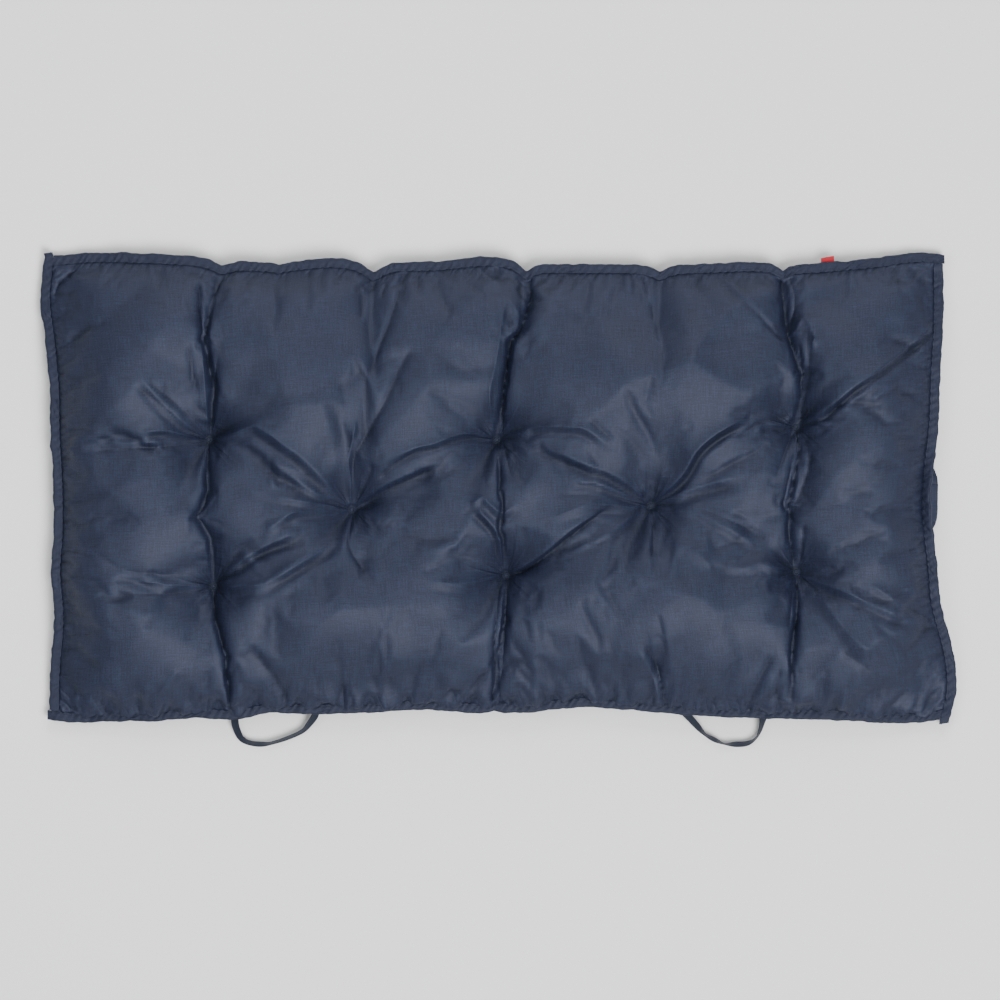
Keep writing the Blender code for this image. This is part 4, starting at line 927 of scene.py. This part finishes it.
def settled_by_cloth(u_fine, v_fine):
    """How far a cloth simulation moves the stuffed cover, at the points of the fine grid.

    The cover is a coarse grid held at the rim and the tufts. Pressure from below and no gravity let it
    swell and wrinkle for a few frames. The move of each point is capped, and then read between the
    points of the coarse grid.
    """
    coarse_u = np.linspace(TAPE_WIDTH / WIDTH, 1 - TAPE_WIDTH / WIDTH, round(WIDTH / SIM_STEP))
    coarse_v = np.linspace(TAPE_WIDTH / DEPTH, 1 - TAPE_WIDTH / DEPTH, round(DEPTH / SIM_STEP))
    u, v = np.meshgrid(coarse_u, coarse_v, indexing="ij")
    start = stuffed_cover(u, v)
    pad = surface("settling_cover", start, grid_quads(*u.shape))
    x, y = start[..., 0], start[..., 1]
    inside = np.minimum.reduce(side_distances(u, v))
    hold = np.maximum(1 - ease(inside, *HOLD_RIM), 1 - ease(ring_distance(x, y), *HOLD_TUFT))
    channel = 1 - channel_dips(x, y)
    hold = np.clip(np.maximum(hold, HOLD_CHANNEL * ease(channel, 0.05, 0.6)), 0, 1).ravel()
    group = pad.vertex_groups.new(name="held")
    for level in np.linspace(1 / HOLD_LEVELS, 1, HOLD_LEVELS):
        members = np.nonzero(np.abs(hold - level) <= 0.5 / HOLD_LEVELS)[0]
        if len(members):
            group.add(members.tolist(), float(level), "REPLACE")
    cloth = pad.modifiers.new("settle", "CLOTH")
    cloth.settings.quality = 6
    cloth.settings.shrink_min = SIM_SLACK
    cloth.settings.mass = 0.25
    cloth.settings.use_pressure = True
    cloth.settings.uniform_pressure_force = SIM_PRESSURE
    cloth.settings.effector_weights.gravity = 0
    cloth.settings.vertex_group_mass = "held"
    cloth.settings.pin_stiffness = 3.0
    cloth.settings.tension_stiffness = 20
    cloth.settings.compression_stiffness = 20
    cloth.settings.shear_stiffness = 8
    cloth.settings.bending_stiffness = 0.4
    cloth.settings.air_damping = 4
    cloth.collision_settings.use_collision = False
    cloth.point_cache.frame_start, cloth.point_cache.frame_end = 1, SIM_FRAMES
    scene = bpy.context.scene
    for frame_number in range(1, SIM_FRAMES + 1):
        scene.frame_set(frame_number)
    shape = pad.evaluated_get(bpy.context.evaluated_depsgraph_get())
    end = np.empty(u.size * 3)
    shape.data.vertices.foreach_get("co", end)
    move = end.reshape(start.shape) - start
    bpy.data.objects.remove(pad, do_unlink=True)
    scene.frame_set(1)
    far = np.linalg.norm(move, axis=-1)
    move *= (np.minimum(far, SIM_CAP) / np.maximum(far, 1e-9))[..., None]
    steps = [np.clip((fine - coarse[0]) / (coarse[1] - coarse[0]), 0, len(coarse) - 1)
             for fine, coarse in ((u_fine, coarse_u), (v_fine, coarse_v))]
    return read_between(move, *steps)


# Tapes

Tape = namedtuple("Tape", "name node side ear_mm ear_x ear_y")
TAPES = [Tape("tape_left", "binding_left", "left", 5.0, -0.25, 1.0),
         Tape("tape_back", "binding_back", "back", 1.6, 1.0, -0.1),
         Tape("tape_right", "binding_right", "right", 6.0, -0.1, -1.0),
         Tape("tape_front", "binding_front", "front", 2.2, -1.0, 0.1)]
TAPE_STEP, STITCH_STEP = 0.0015, 0.0033
STITCH_INSET, STITCH_PROUD = 0.0026, 0.0001    # in from the tape's lip, and off its face
STITCH_HALF, STITCH_RADIUS = 0.00125, 0.00026
SPINDLE = [(-0.62, 0.85), (0, 1), (0.62, 0.85)]    # a ring's place in half lengths, its share of the radius
BUTT_GAP = 0.0003
EDGE_CALM, CALM_FROM, EDGE_SWAY = 0.6, 0.004, 0.0005
Course = namedtuple("Course", "side along inner outward breadth height curl")


def tape_course(tape, step):
    """Rows along a tape: its inner edge, the way outward, the seam's height and how far it curls up."""
    lengthwise = tape.side in ("front", "back")
    length, other = (WIDTH, DEPTH) if lengthwise else (DEPTH, WIDTH)
    t = np.linspace((TAPE_WIDTH + BUTT_GAP) / length, 1, round(length / step))
    if tape.side in ("right", "front"):
        t = 1 - t
    edge = np.full(t.shape, 0.0 if tape.side in ("front", "left") else 1.0)
    step_in = edge + (TAPE_WIDTH / other) * (1 - 2 * edge)
    spots = [(t, edge), (t, step_in)] if lengthwise else [(edge, t), (step_in, t)]
    outer, inner = plan(*spots[0]), plan(*spots[1])
    ear = np.array([tape.ear_x, tape.ear_y])
    ear = ear / np.linalg.norm(ear) * tape.ear_mm * MM
    tail = np.linspace(0, 1, 3)[1:, None] * ear
    outer, inner = np.vstack([outer, outer[-1] + tail]), np.vstack([inner, inner[-1] + tail])
    height = seam_height(*spots[0])
    height = np.concatenate([height, np.full(2, height[-1])])
    outward = outer - inner
    breadth = np.linalg.norm(outward, axis=1)[:, None]
    outward /= breadth
    curl = CURL_ANGLE * curl_share(inner[:, 1]) if tape.side == "right" else np.zeros(len(outer))
    along = np.concatenate([t * length, np.full(2, t[-1] * length)])
    return Course(tape.side, along, inner, outward, breadth / TAPE_WIDTH, height, curl)


def on_tape(course, out, up):
    """Points on a tape at a reach outward and a height above the seam, with the tape's own ripples.

    The whole tape waves by half a millimetre, and the seam's slanting ruffles cross its walls.
    """
    x, y = course.inner[:, :1], course.inner[:, 1:]
    slant = RUFFLE_SLANT[course.side]
    wave = ruffle(course.side, course.along[:, None] - slant * out).height
    edge = ruffle(course.side, course.along[:, None] - slant * TAPE_WIDTH).height
    up = up + bob(x, y) + pucker(wave) * np.sign(up) * (1 - EDGE_CALM * ease(out, CALM_FROM, TAPE_WIDTH))
    out = out * course.breadth + (waves(x, y, TAPE_SWAY) + EDGE_SWAY * edge) * ease(out, 0.0, TAPE_WIDTH)
    cos, sin = np.cos(course.curl)[:, None], np.sin(course.curl)[:, None]
    reach, rise = out * cos - up * sin, out * sin + up * cos
    xy = course.inner[:, None] + course.outward[:, None] * reach[..., None]
    return np.concatenate([xy, (course.height[:, None] + rise)[..., None]], -1)


def fold_profile(lip, outer, half, wall_points, fold_points):
    """A strip folded double, as (outward, up) points: a wall out, a half-round fold and a wall back."""
    turn = np.linspace(math.pi / 2, -math.pi / 2, fold_points)
    fold = np.stack([outer - half + half * np.cos(turn), half * np.sin(turn)], -1)
    wall = np.stack([np.linspace(lip, outer - half, wall_points)[:-1], np.full(wall_points - 1, half)], -1)
    return np.concatenate([wall, fold, wall[::-1] * (1, -1)])


def rim_tape(tape):
    """Folded tape as a shell carried along its side of the rim, and its width and length laid flat."""
    profile = fold_profile(LIP_ROOM, TAPE_WIDTH - TAPE_THICK / 2, TAPE_HALF, 7, 7)
    course = tape_course(tape, TAPE_STEP)
    middle = on_tape(course, profile[None, :, 0], profile[None, :, 1])
    return cloth_strip(tape.name, middle, TAPE_THICK), (length_of(profile), length_of(middle[:, 0]))


def rim_stitches():
    """The stitches that show on both walls of the tapes: small spindles end to end along a seam.

    A spindle has a point at each end and three rings of four points between them.
    """
    turns = np.arange(4) * math.pi / 2 + math.pi / 4
    rings = [(a, r * math.cos(t), r * math.sin(t)) for a, r in SPINDLE for t in turns]
    spindle = np.array([(-1, 0, 0), *rings, (1, 0, 0)])
    tips = [(0, 1 + (k + 1) % 4, 1 + k) for k in range(4)] + [(13, 9 + k, 9 + (k + 1) % 4) for k in range(4)]
    sides = [(b + k, b + (k + 1) % 4, b + 4 + (k + 1) % 4, b + 4 + k) for b in (1, 5) for k in range(4)]
    points, cloth = [], []
    for tape in TAPES:
        course = tape_course(tape, STITCH_STEP)
        for wall in (1, -1):
            out = np.full((1, 1), LIP_ROOM + STITCH_INSET)
            up = wall * np.full((1, 1), TAPE_HALF + TAPE_THICK / 2 + STITCH_PROUD)
            seat = on_tape(course, out, up)[:, 0]
            way = unit(np.gradient(seat, axis=0))
            across = unit(np.cross((0.0, 0.0, 1.0), way))
            upward = np.cross(way, across)
            axes = np.stack([way * STITCH_HALF, across * STITCH_RADIUS * 1.2, upward * STITCH_RADIUS], 1)
            points.append((seat[:, None] + spindle @ axes).reshape(-1, 3))
            run = np.stack([course.along, np.zeros(len(seat))], -1)[:, None]
            cloth.append((run + spindle[:, :2] * (STITCH_HALF, STITCH_RADIUS)).reshape(-1, 2))
    points = np.concatenate(points)
    starts = np.arange(len(points) // len(spindle)) * len(spindle)
    quads = (np.array(sides)[None] + starts[:, None, None]).reshape(-1, 4)
    triangles = (np.array(tips)[None] + starts[:, None, None]).reshape(-1, 3)
    return surface("rim_stitches", points, quads, triangles, np.concatenate(cloth), smooth_angle=180)


# Loops, label, tacks

def tie_loop(name, bends):
    """Flat ribbon carried along its bends: it leans over by each bend's angle and is a little dished."""
    table = np.array(bends, float)
    at = np.linspace(0, 1, 90)
    x, y, z, lean = (smooth(np.linspace(0, 1, len(table)), table[:, k], at) for k in range(4))
    lean = np.radians(lean)
    centre = np.stack([x, y, z], -1) * MM
    way = unit(np.gradient(centre[:, :2], axis=0))
    across = np.stack([-way[:, 1] * np.cos(lean), way[:, 0] * np.cos(lean), np.sin(lean)], -1)
    normal = np.stack([way[:, 1] * np.sin(lean), -way[:, 0] * np.sin(lean), np.cos(lean)], -1)
    spread = np.linspace(-1, 1, 9)
    dish = STRAP_DISH * (spread ** 2 - 0.4)
    middle = (centre[:, None] + across[:, None] * (spread * STRAP_WIDTH / 2)[None, :, None]
              + normal[:, None] * dish[None, :, None])
    return cloth_strip(name, middle, STRAP_THICK), length_of(centre)


def label_tab():
    """Red tab folded double: out from under the back tape, round its fold and back, a little waved."""
    along = np.linspace(-0.5, 0.5, 13)
    x = LABEL_MIDDLE + LABEL_WIDTH * along
    u = (x / MM - BACK_LEFT.x) / (BACK_RIGHT.x - BACK_LEFT.x)
    rim = plan(u, np.ones(u.shape))[:, 1]
    under = seam_height(u, np.ones(u.shape)) - TAPE_HALF - TAPE_THICK / 2 - LABEL_BELOW
    profile = fold_profile(-LABEL_TUCK, LABEL_REACH, LABEL_HALF, 12, 5)
    out, up = profile[None, :, 0], profile[None, :, 1]
    hang = ease(out, -0.001, LABEL_REACH)
    out = out + LABEL_SKEW * along[:, None] * hang
    up = up + (LABEL_WAVE * np.cos(along * 2 * math.pi) - LABEL_DROOP)[:, None] * hang
    middle = np.stack([np.broadcast_to(x[:, None], up.shape), rim[:, None] + out, under[:, None] + up], -1)
    return cloth_strip("label_tab", middle[::-1], LABEL_THICK), length_of(profile)


def tack_ring(name, tuft, height, up, seed):
    """Ring of close thread turns: a torus whose tube bulges at each turn of thread, slanting round it."""
    dice = np.random.default_rng(seed)
    round_way = np.linspace(0, 2 * math.pi, RING_POINTS + 1)[:-1][:, None]
    round_tube = np.linspace(0, 2 * math.pi, TUBE_POINTS + 1)[:-1][None]
    wound = 1 + 0.10 * np.cos(RING_TURNS * round_way + 2 * round_tube) + 0.08 * np.cos(
        3 * round_way + dice.uniform(0, 6))
    tube = RING_TUBE * wound
    wide = RING_RADIUS + RING_UNROUND * np.cos(2 * round_way + dice.uniform(0, 6))
    x = (wide + tube * np.cos(round_tube)) * np.cos(round_way)
    y = (wide + tube * np.cos(round_tube)) * np.sin(round_way)
    z = tube * np.sin(round_tube) + RING_RISE + RING_TILT * np.cos(round_way + dice.uniform(0, 6))
    points = np.stack([x + tuft.x * MM, y + tuft.y * MM, height + up * z], -1)
    last = grid_quads(2, TUBE_POINTS, close_rows=True)
    last = np.where(last >= TUBE_POINTS, last - TUBE_POINTS, last + (RING_POINTS - 1) * TUBE_POINTS)
    quads = np.concatenate([grid_quads(RING_POINTS, TUBE_POINTS, close_rows=True), last])
    uv = np.stack(np.broadcast_arrays(round_way * 0.003, round_tube * 0.001), -1)
    return surface(name, points, quads if up > 0 else quads[:, ::-1], uv=uv, smooth_angle=180)


# Finishes

class Amount:
    """A number that varies over the cloth: arithmetic on it lays down maths nodes in its node tree."""

    def __init__(self, tree, socket):
        self.tree, self.socket = tree, socket

    def __add__(self, other):
        return maths("ADD", self, other)

    def __sub__(self, other):
        return maths("SUBTRACT", self, other)

    def __rsub__(self, other):
        return maths("SUBTRACT", other, self)

    def __mul__(self, other):
        return maths("MULTIPLY", self, other)

    def __truediv__(self, other):
        return maths("DIVIDE", self, other)

    def __pow__(self, other):
        return maths("POWER", self, other)

    def __abs__(self):
        return maths("ABSOLUTE", self)

    __radd__, __rmul__ = __add__, __mul__


def feed(tree, sockets, parts):
    """Each part goes into its socket: an amount as a link, a plain number as the socket's own value."""
    for socket, part in zip(sockets, parts):
        if isinstance(part, Amount):
            tree.links.new(part.socket, socket)
        else:
            socket.default_value = part


def maths(operation, *parts):
    """The outcome of a maths node fed with amounts and plain numbers."""
    tree = next(part.tree for part in parts if isinstance(part, Amount))
    node = tree.nodes.new("ShaderNodeMath")
    node.operation = operation
    feed(tree, node.inputs, parts)
    return Amount(tree, node.outputs[0])


def within(amount, low, high):
    """The amount, no less than low and no more than high. Either may be None."""
    if low is not None:
        amount = maths("MAXIMUM", amount, low)
    return amount if high is None else maths("MINIMUM", amount, high)


def parts_of(tree, vector):
    """The three numbers of a vector."""
    node = tree.nodes.new("ShaderNodeSeparateXYZ")
    tree.links.new(vector, node.inputs[0])
    return [Amount(tree, socket) for socket in node.outputs]


def bundle(tree, *parts):
    """A vector from three amounts or plain numbers."""
    node = tree.nodes.new("ShaderNodeCombineXYZ")
    feed(tree, node.inputs, parts)
    return node.outputs[0]


def stretched(tree, vector, x, y):
    """The vector with its two ways scaled."""
    node = tree.nodes.new("ShaderNodeMapping")
    node.inputs["Scale"].default_value = (x, y, 1.0)
    tree.links.new(vector, node.inputs["Vector"])
    return node.outputs["Vector"]


def noise_at(tree, vector, scale=1.0, detail=1.0, rough=0.5):
    """Soft noise between 0 and 1 at the vector."""
    node = tree.nodes.new("ShaderNodeTexNoise")
    node.inputs["Scale"].default_value = scale
    node.inputs["Detail"].default_value = detail
    node.inputs["Roughness"].default_value = rough
    tree.links.new(vector, node.inputs["Vector"])
    return Amount(tree, node.outputs["Fac"])


def ridged(tree, vector, detail, power):
    """Sharp ridges where a noise crosses its middle: (1 - |2 n - 1|)^power."""
    return (1.0 - abs(noise_at(tree, vector, detail=detail) * 2.0 - 1.0)) ** power


def falloff(amount, gone_at):
    """(1 - amount / gone_at)^2, and 0 beyond it."""
    left = within(1.0 - amount / gone_at, 0.0, None)
    return left * left


def new_group(name, inputs, outputs):
    """An empty node group with its named sockets: vectors or numbers in, numbers out."""
    group = bpy.data.node_groups.new(name, "ShaderNodeTree")
    for label, kind in inputs.items():
        group.interface.new_socket(label, in_out="INPUT", socket_type=kind)
    for label in outputs:
        group.interface.new_socket(label, in_out="OUTPUT", socket_type="NodeSocketFloat")
    return group, group.nodes.new("NodeGroupInput").outputs, group.nodes.new("NodeGroupOutput").inputs


VECTOR, NUMBER = "NodeSocketVector", "NodeSocketFloat"
STREAK_LONG, STREAK_FINE = 40.0, 760.0      # noise cells a metre, along and across a thread
SLUB_CELLS, BLOTCH_CELLS = (520.0, 640.0), 24.0


def plain_weave():
    """Threads over and under each other: the height is the root of |sin(warp) sin(weft)|.

    Streaks is the unevenness of the threads: long thin streaks both ways, where a thread is thicker,
    and short slubs. Blotches is a soft cloudiness.
    """
    group, start, end = new_group("plain_weave", {"Cloth": VECTOR, "Threads": NUMBER},
                                  ("Height", "Streaks", "Blotches"))
    cloth, threads = start["Cloth"], Amount(group, start["Threads"])
    over, under = (maths("SINE", way * threads * math.pi) for way in parts_of(group, cloth)[:2])
    warp = noise_at(group, stretched(group, cloth, STREAK_LONG, STREAK_FINE), rough=0.6)
    weft = noise_at(group, stretched(group, cloth, STREAK_FINE, 0.9 * STREAK_LONG), rough=0.6)
    slubs = noise_at(group, stretched(group, cloth, *SLUB_CELLS), rough=0.6)
    streaks = (warp + weft - 1.0) * 0.55 + (slubs - 0.5) * 0.7
    blotches = noise_at(group, cloth, BLOTCH_CELLS, 3.0, 0.6) - 0.5
    feed(group, end, (maths("SQRT", abs(over * under)), streaks, blotches))
    return group


PLEAT_REACH, PLEAT_GROWTH, PLEAT_RISE = 0.095, 60.0, 0.0090
PLEAT_ROUND, PLEAT_OUT = 2.6, 9.0          # noise cells round the tuft, and a metre away from it
SEAM_RUFFLE_REACH, SEAM_RUFFLE_RISE, SEAM_RUFFLE_SLANT = 0.034, -0.0012, 0.6
SEAM_RUFFLE_CELLS = (62.0, 14.0, 3.0)      # noise cells a metre along the seam, inward and across


def fine_folds():
    """Height of the folds finer than the mesh: pleats that run out from the tufts, and seam ruffles.

    The pleats are ridged noise read round the tuft, present only where a second noise is high.
    """
    group, start, end = new_group("fine_folds", {"Cloth": VECTOR, "Tuft way": VECTOR}, ("Height",))
    cos, sin, r = parts_of(group, start["Tuft way"])
    pleats = ridged(group, bundle(group, cos * PLEAT_ROUND, sin * PLEAT_ROUND, r * PLEAT_OUT), 0.0, 4.0)
    some = within(noise_at(group, bundle(group, cos, sin, r * 6.0), 2.3, 0.0) - 0.42, 0.0, None)
    near = falloff(r, PLEAT_REACH) * within(r * PLEAT_GROWTH, None, 1.0)
    height = pleats * (some * near) * PLEAT_RISE
    x, y, _ = parts_of(group, start["Cloth"])
    cells_along, cells_in, cells_across = SEAM_RUFFLE_CELLS
    for along, across, breadth, shift in ((x, y, PANEL_DEPTH, 0.0), (y, x, PANEL_WIDTH, 7.0)):
        inward = within(maths("MINIMUM", across, breadth - across) - TAPE_WIDTH, 0.0, None)
        run = (inward * SEAM_RUFFLE_SLANT + along) * cells_along + shift
        ruffles = ridged(group, bundle(group, run, inward * cells_in, across * cells_across), 0.0, 6.0)
        height = height + ruffles * falloff(inward, SEAM_RUFFLE_REACH) * SEAM_RUFFLE_RISE
    feed(group, end, (height,))
    return group


TAPE_PUCKER_RISE, TAPE_PUCKER_SLANT = -0.0011, 0.5
TAPE_PUCKER_CELLS, TAPE_MASK_CELLS = (60.0, 55.0), 24.0


def tape_puckers():
    """Height of the slanting puckers of the folded tape, along its length in x and across it in y.

    They are ridged noise, weaker where a slow noise along the tape is low.
    """
    group, start, end = new_group("tape_puckers", {"Cloth": VECTOR}, ("Height",))
    along, across, _ = parts_of(group, start["Cloth"])
    out = abs(across)
    cells_along, cells_out = TAPE_PUCKER_CELLS
    run = (out * TAPE_PUCKER_SLANT + along) * cells_along
    some = noise_at(group, bundle(group, along * TAPE_MASK_CELLS, 5.0, 0.0), detail=0.0)
    puckers = ridged(group, bundle(group, run, out * cells_out, 0.0), 1.0, 4.0)
    puckers = puckers * within(some * 4.0 - 1.5, 0.15, 1.0)
    feed(group, end, (puckers * TAPE_PUCKER_RISE,))
    return group


# In each finish, crest is how strongly the fold mark paints highlights on the crests and shade in the
# hollows.
Finish = namedtuple("Finish", "name folds colour rough tint specular coat threads depth streak blotch crest")
FINISHES = [
    Finish("navy_cover_cloth", fine_folds, (0.0077, 0.0107, 0.0252), 0.56, (0.67, 0.745, 1.0), 0.43, 0.065,
           1150, 0.00010, 2.4, 0.35, 0.18),
    # The tape's colour is the cover's navy made about a tenth darker: painted shade, against the extra light
    # its flat face catches.
    Finish("navy_tape_weave", tape_puckers, (0.0070, 0.0096, 0.0222), 0.58, (0.67, 0.735, 1.0), 0.37, 0.05,
           1000, 0.00014, 2.0, 0.35, 0.0),
    Finish("navy_ribbon_weave", None, (0.0085, 0.0115, 0.021), 0.55, (0.72, 0.80, 1.0), 0.34, 0.0,
           1000, 0.00014, 0.60, 0.20, 0.0),
    Finish("navy_thread", None, (0.013, 0.017, 0.032), 0.60, (0.70, 0.80, 1.0), 0.22, 0.0,
           2200, 0.00010, 0.40, 0.15, 0.0),
    Finish("red_tab_weave", None, (0.36, 0.010, 0.022), 0.60, (1.0, 0.80, 0.80), 0.35, 0.0,
           1500, 0.00010, 0.35, 0.12, 0.0),
]
COAT_ROUGH, STREAK_RELIEF, STREAK_GLOSS = 0.42, 0.00012, 0.10
# Painted shade in deep valleys: where the fold mark is below minus the first of these, the colour darkens by
# the second and the cloth grows rougher by the third. DARKEST is the least share of the colour that is left.
VALLEY_FROM, VALLEY_PAINTED_SHADE, VALLEY_ROUGH, DARKEST = 0.55, 0.35, 0.25, 0.25


def placed_group(tree, group, cloth):
    """The node group in a material, reading the place on the cloth."""
    node = tree.nodes.new("ShaderNodeGroup")
    node.node_tree = group
    tree.links.new(cloth, node.inputs["Cloth"])
    return node


def mark_of(tree, name):
    """The node that reads one of the cover's marks."""
    node = tree.nodes.new("ShaderNodeAttribute")
    node.attribute_name = name
    return node


def cloth_finish(finish, weave):
    """Woven cloth: colour and roughness vary with its threads, blotches and deep valleys; on crests and in
    hollows and valleys the colour carries painted highlights and painted shade.
    """
    material = bpy.data.materials.new(finish.name)
    material.use_nodes = True
    tree = material.node_tree
    shader = tree.nodes["Principled BSDF"]
    uv = tree.nodes.new("ShaderNodeUVMap")
    uv.uv_map = "cloth"
    threads = placed_group(tree, weave, uv.outputs["UV"])
    threads.inputs["Threads"].default_value = finish.threads
    height, streaks, blotches = (Amount(tree, socket) for socket in threads.outputs)
    light = 1.0 + streaks * finish.streak + blotches * finish.blotch
    rough = finish.rough - streaks * STREAK_GLOSS
    relief = height * finish.depth + streaks * STREAK_RELIEF
    if finish.folds:
        folds = placed_group(tree, finish.folds(), uv.outputs["UV"])
        relief = relief + Amount(tree, folds.outputs["Height"])
    if finish.crest:
        fold = Amount(tree, mark_of(tree, "fold").outputs["Fac"])
        # Painted highlight on crests and painted shade in hollows, from the fold mark, and more painted shade
        # with a rougher finish in deep valleys.
        valley = within(fold + VALLEY_FROM, None, 0.0)
        light = light + fold * finish.crest + valley * VALLEY_PAINTED_SHADE
        rough = rough - valley * VALLEY_ROUGH
        tree.links.new(mark_of(tree, "tuft_way").outputs["Vector"], folds.inputs["Tuft way"])
    colour = tree.nodes.new("ShaderNodeVectorMath")
    colour.operation = "SCALE"
    colour.inputs[0].default_value = finish.colour
    tree.links.new(within(light, DARKEST, None).socket, colour.inputs["Scale"])
    tree.links.new(colour.outputs[0], shader.inputs["Base Color"])
    tree.links.new(rough.socket, shader.inputs["Roughness"])
    shader.inputs["Specular IOR Level"].default_value = finish.specular
    shader.inputs["Specular Tint"].default_value = (*finish.tint, 1.0)
    shader.inputs["Coat Weight"].default_value = finish.coat
    shader.inputs["Coat Roughness"].default_value = COAT_ROUGH
    bump = tree.nodes.new("ShaderNodeBump")
    bump.inputs["Distance"].default_value = 1.0
    tree.links.new(relief.socket, bump.inputs["Height"])
    tree.links.new(bump.outputs["Normal"], shader.inputs["Normal"])
    return material


# Floor, light and camera

Lamp = namedtuple("Lamp", "name azimuth elevation distance size power")
LAMPS = [Lamp("key", -54, 60, 8.0, 4.2, 960.0), Lamp("fill_left", 172, 62, 2.6, 1.6, 25.0),
         Lamp("fill_back", 80, 36, 8.0, 5.2, 450.0)]
FLOOR_HALF, FLOOR_COLOUR, FLOOR_ROUGH = 3, (0.80, 0.80, 0.80, 1), 0.9
ROOM_COLOUR, ROOM_STRENGTH = (0.95, 0.97, 1.0, 1), 0.27
CAMERA_HEIGHT, VIEW_WIDTH, VIEW_MIDDLE, FILM_WIDTH = 9.0, 1.3, 0.00195, 36.0


def studio():
    """Pale floor, a large key light from the front right, two soft fills, and the camera straight above."""
    corners = [(x * FLOOR_HALF, y * FLOOR_HALF, 0) for x, y in ((-1, -1), (1, -1), (1, 1), (-1, 1))]
    floor = surface("floor", corners, [(0, 1, 2, 3)])
    paper = bpy.data.materials.new("pale_floor")
    paper.use_nodes = True
    shader = paper.node_tree.nodes["Principled BSDF"]
    shader.inputs["Base Color"].default_value = FLOOR_COLOUR
    shader.inputs["Roughness"].default_value = FLOOR_ROUGH
    floor.data.materials.append(paper)
    for lamp in LAMPS:
        light = bpy.data.lights.new(lamp.name, "AREA")
        light.energy, light.size = lamp.power, lamp.size
        thing = bpy.data.objects.new(lamp.name, light)
        a, e = math.radians(lamp.azimuth), math.radians(lamp.elevation)
        way = Vector((math.cos(a) * math.cos(e), math.sin(a) * math.cos(e), math.sin(e)))
        thing.location = way * lamp.distance
        thing.rotation_euler = way.to_track_quat("Z", "Y").to_euler()
        bpy.context.scene.collection.objects.link(thing)
    room = bpy.data.worlds.new("soft_room")
    room.use_nodes = True
    room.node_tree.nodes["Background"].inputs["Color"].default_value = ROOM_COLOUR
    room.node_tree.nodes["Background"].inputs["Strength"].default_value = ROOM_STRENGTH
    bpy.context.scene.world = room
    camera = bpy.data.cameras.new("camera")
    camera.sensor_width = FILM_WIDTH
    camera.lens = FILM_WIDTH * (CAMERA_HEIGHT - SEAM_HEIGHT) / VIEW_WIDTH
    camera.clip_end = 50.0
    eye = bpy.data.objects.new("camera", camera)
    eye.location = (VIEW_MIDDLE, 0.0, CAMERA_HEIGHT)
    bpy.context.scene.collection.objects.link(eye)
    bpy.context.scene.camera = eye


# Dressing

def place(piece, finish, slot, nodes):
    """Gives a piece its finish and body, and hides the solids that it stands for. The slot is not used."""
    piece.data.materials.append(finish)
    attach(piece, "root")
    if nodes:
        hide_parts(*nodes)


def dress():
    """Builds every piece of the cushion and places it."""
    weave = plain_weave()
    cover_cloth, tape_weave, ribbon_weave, thread, red_weave = (cloth_finish(f, weave) for f in FINISHES)
    studio()
    cover = quilted_cover()
    place(cover, cover_cloth, "navy cover", ["cushion_body"])
    for tape in TAPES:
        thing, flat = rim_tape(tape)
        place(thing, tape_weave, "navy tape", [tape.node])
    place(rim_stitches(), thread, "navy thread", [])
    for name, node, bends in (("tie_loop_left", "strap_loop_left", STRAP_LEFT),
                              ("tie_loop_right", "strap_loop_right", STRAP_RIGHT)):
        thing, length = tie_loop(name, bends)
        place(thing, ribbon_weave, "navy tape", [node])
    thing, width = label_tab()
    place(thing, red_weave, "red label", ["seam_label"])
    for number, tuft in enumerate(TUFTS, 1):
        top = tack_ring(f"tack_top_{number}", tuft, SEAM_HEIGHT + RIM_HALF + RING_OFF, 1, number)
        place(top, thread, "navy thread", [f"tuft_top_{number}"])
        base = tack_ring(f"tack_base_{number}", tuft, TUFT_LIFT - RING_OFF, -1, BASE_SEEDS + number)
        place(base, thread, "navy thread", [f"tuft_base_{number}"])


dress()
